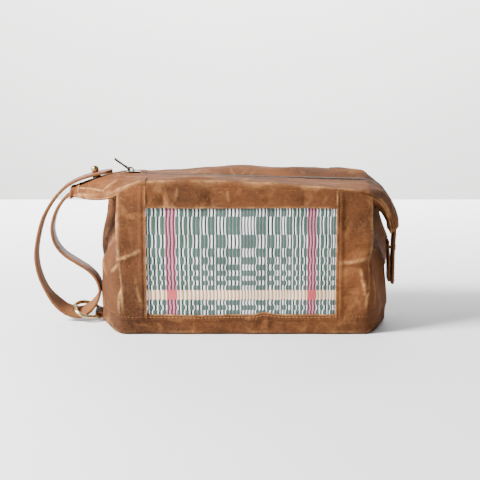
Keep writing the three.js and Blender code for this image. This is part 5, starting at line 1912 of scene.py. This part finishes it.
class Studio:
    """Pale floor, a lighter wall behind, soft light from the upper left, and the camera."""

    def build(self) -> None:
        """Make everything that isn't the bag."""
        floor = self._plane("floor", 3.0, (0.0, -0.83, 0.0), 0.0, rgb(226, 227, 229))
        wall = self._plane("wall", 6.0, (0.0, 2.2, 0.0), math.pi / 2, rgb(246, 245, 243))
        self._light("soft key", (-1.05, -0.50, 1.02), 0.45, 104.0, (1.0, 0.985, 0.965))
        self._light("fill", (1.5, -1.3, 0.8), 1.6, 2.0, (0.95, 0.97, 1.0))
        self._light("wall wash", (0.0, 0.95, 1.5), 2.0, 200.0, (1.0, 1.0, 1.0), (0.0, 2.2, 0.7))
        world = bpy.data.worlds.new("studio")
        bpy.context.scene.world = world
        world.use_nodes = True
        world.node_tree.nodes["Background"].inputs[0].default_value = (0.86, 0.87, 0.88, 1.0)
        world.node_tree.nodes["Background"].inputs[1].default_value = 0.33
        data = bpy.data.cameras.new("camera")
        data.lens = 94.0
        data.sensor_width = 36.0
        camera = bpy.data.objects.new("camera", data)
        bpy.context.scene.collection.objects.link(camera)
        look = Vector((-0.0044, 0.0, 0.072))
        rise = math.radians(11.0)
        camera.location = look + Vector((0.0, -1.10 * math.cos(rise), 1.10 * math.sin(rise)))
        camera.rotation_euler = (look - camera.location).to_track_quat("-Z", "Y").to_euler()
        bpy.context.scene.camera = camera

    @staticmethod
    def _plane(name: str, size: float, at: tuple, turn: float, colour: tuple) -> Piece:
        """A large flat sheet with a faintly uneven tone."""
        bpy.ops.mesh.primitive_plane_add(size=size, location=at, rotation=(turn, 0, 0))
        obj = bpy.context.object
        obj.name = name
        material, g, shader = new_material(name)
        place = g.node("ShaderNodeTexCoord").outputs["Object"]
        tone = g.noise(place, 3.0, 4.0, 0.6)
        g.feed(shader.inputs["Base Color"], g.mix(g.math("MULTIPLY", tone, 0.12), colour, rgb(170, 170, 172)))
        shader.inputs["Roughness"].default_value = 0.7
        obj.data.materials.append(material)
        return obj

    @staticmethod
    def _light(name: str, at: tuple, size: float, power: float, tint: tuple,
               toward: tuple = (0.0, 0.0, 0.06)) -> None:
        """An area lamp aimed at a point."""
        data = bpy.data.lights.new(name, "AREA")
        data.size = size
        data.energy = power
        data.color = tint
        obj = bpy.data.objects.new(name, data)
        bpy.context.scene.collection.objects.link(obj)
        obj.location = at
        obj.rotation_euler = (Vector(toward) - Vector(at)).to_track_quat("-Z", "Y").to_euler()


def main() -> None:
    """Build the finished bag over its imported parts."""
    logging.basicConfig(level=logging.INFO, format="%(name)s: %(message)s")
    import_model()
    looks = finish_library()
    form = BagForm(BagSize())
    for part in (CanvasBody(form, looks), WovenPanel(form, looks), TopCanvas(form, looks),
                 Zipper(form, looks),
                 WristStrap(form, looks), EndTab(looks)):
        made = part.build()
        LOG.info("%s: %d pieces", type(part).__name__, len(made))
    Studio().build()


if __name__ == "__main__":
    main()
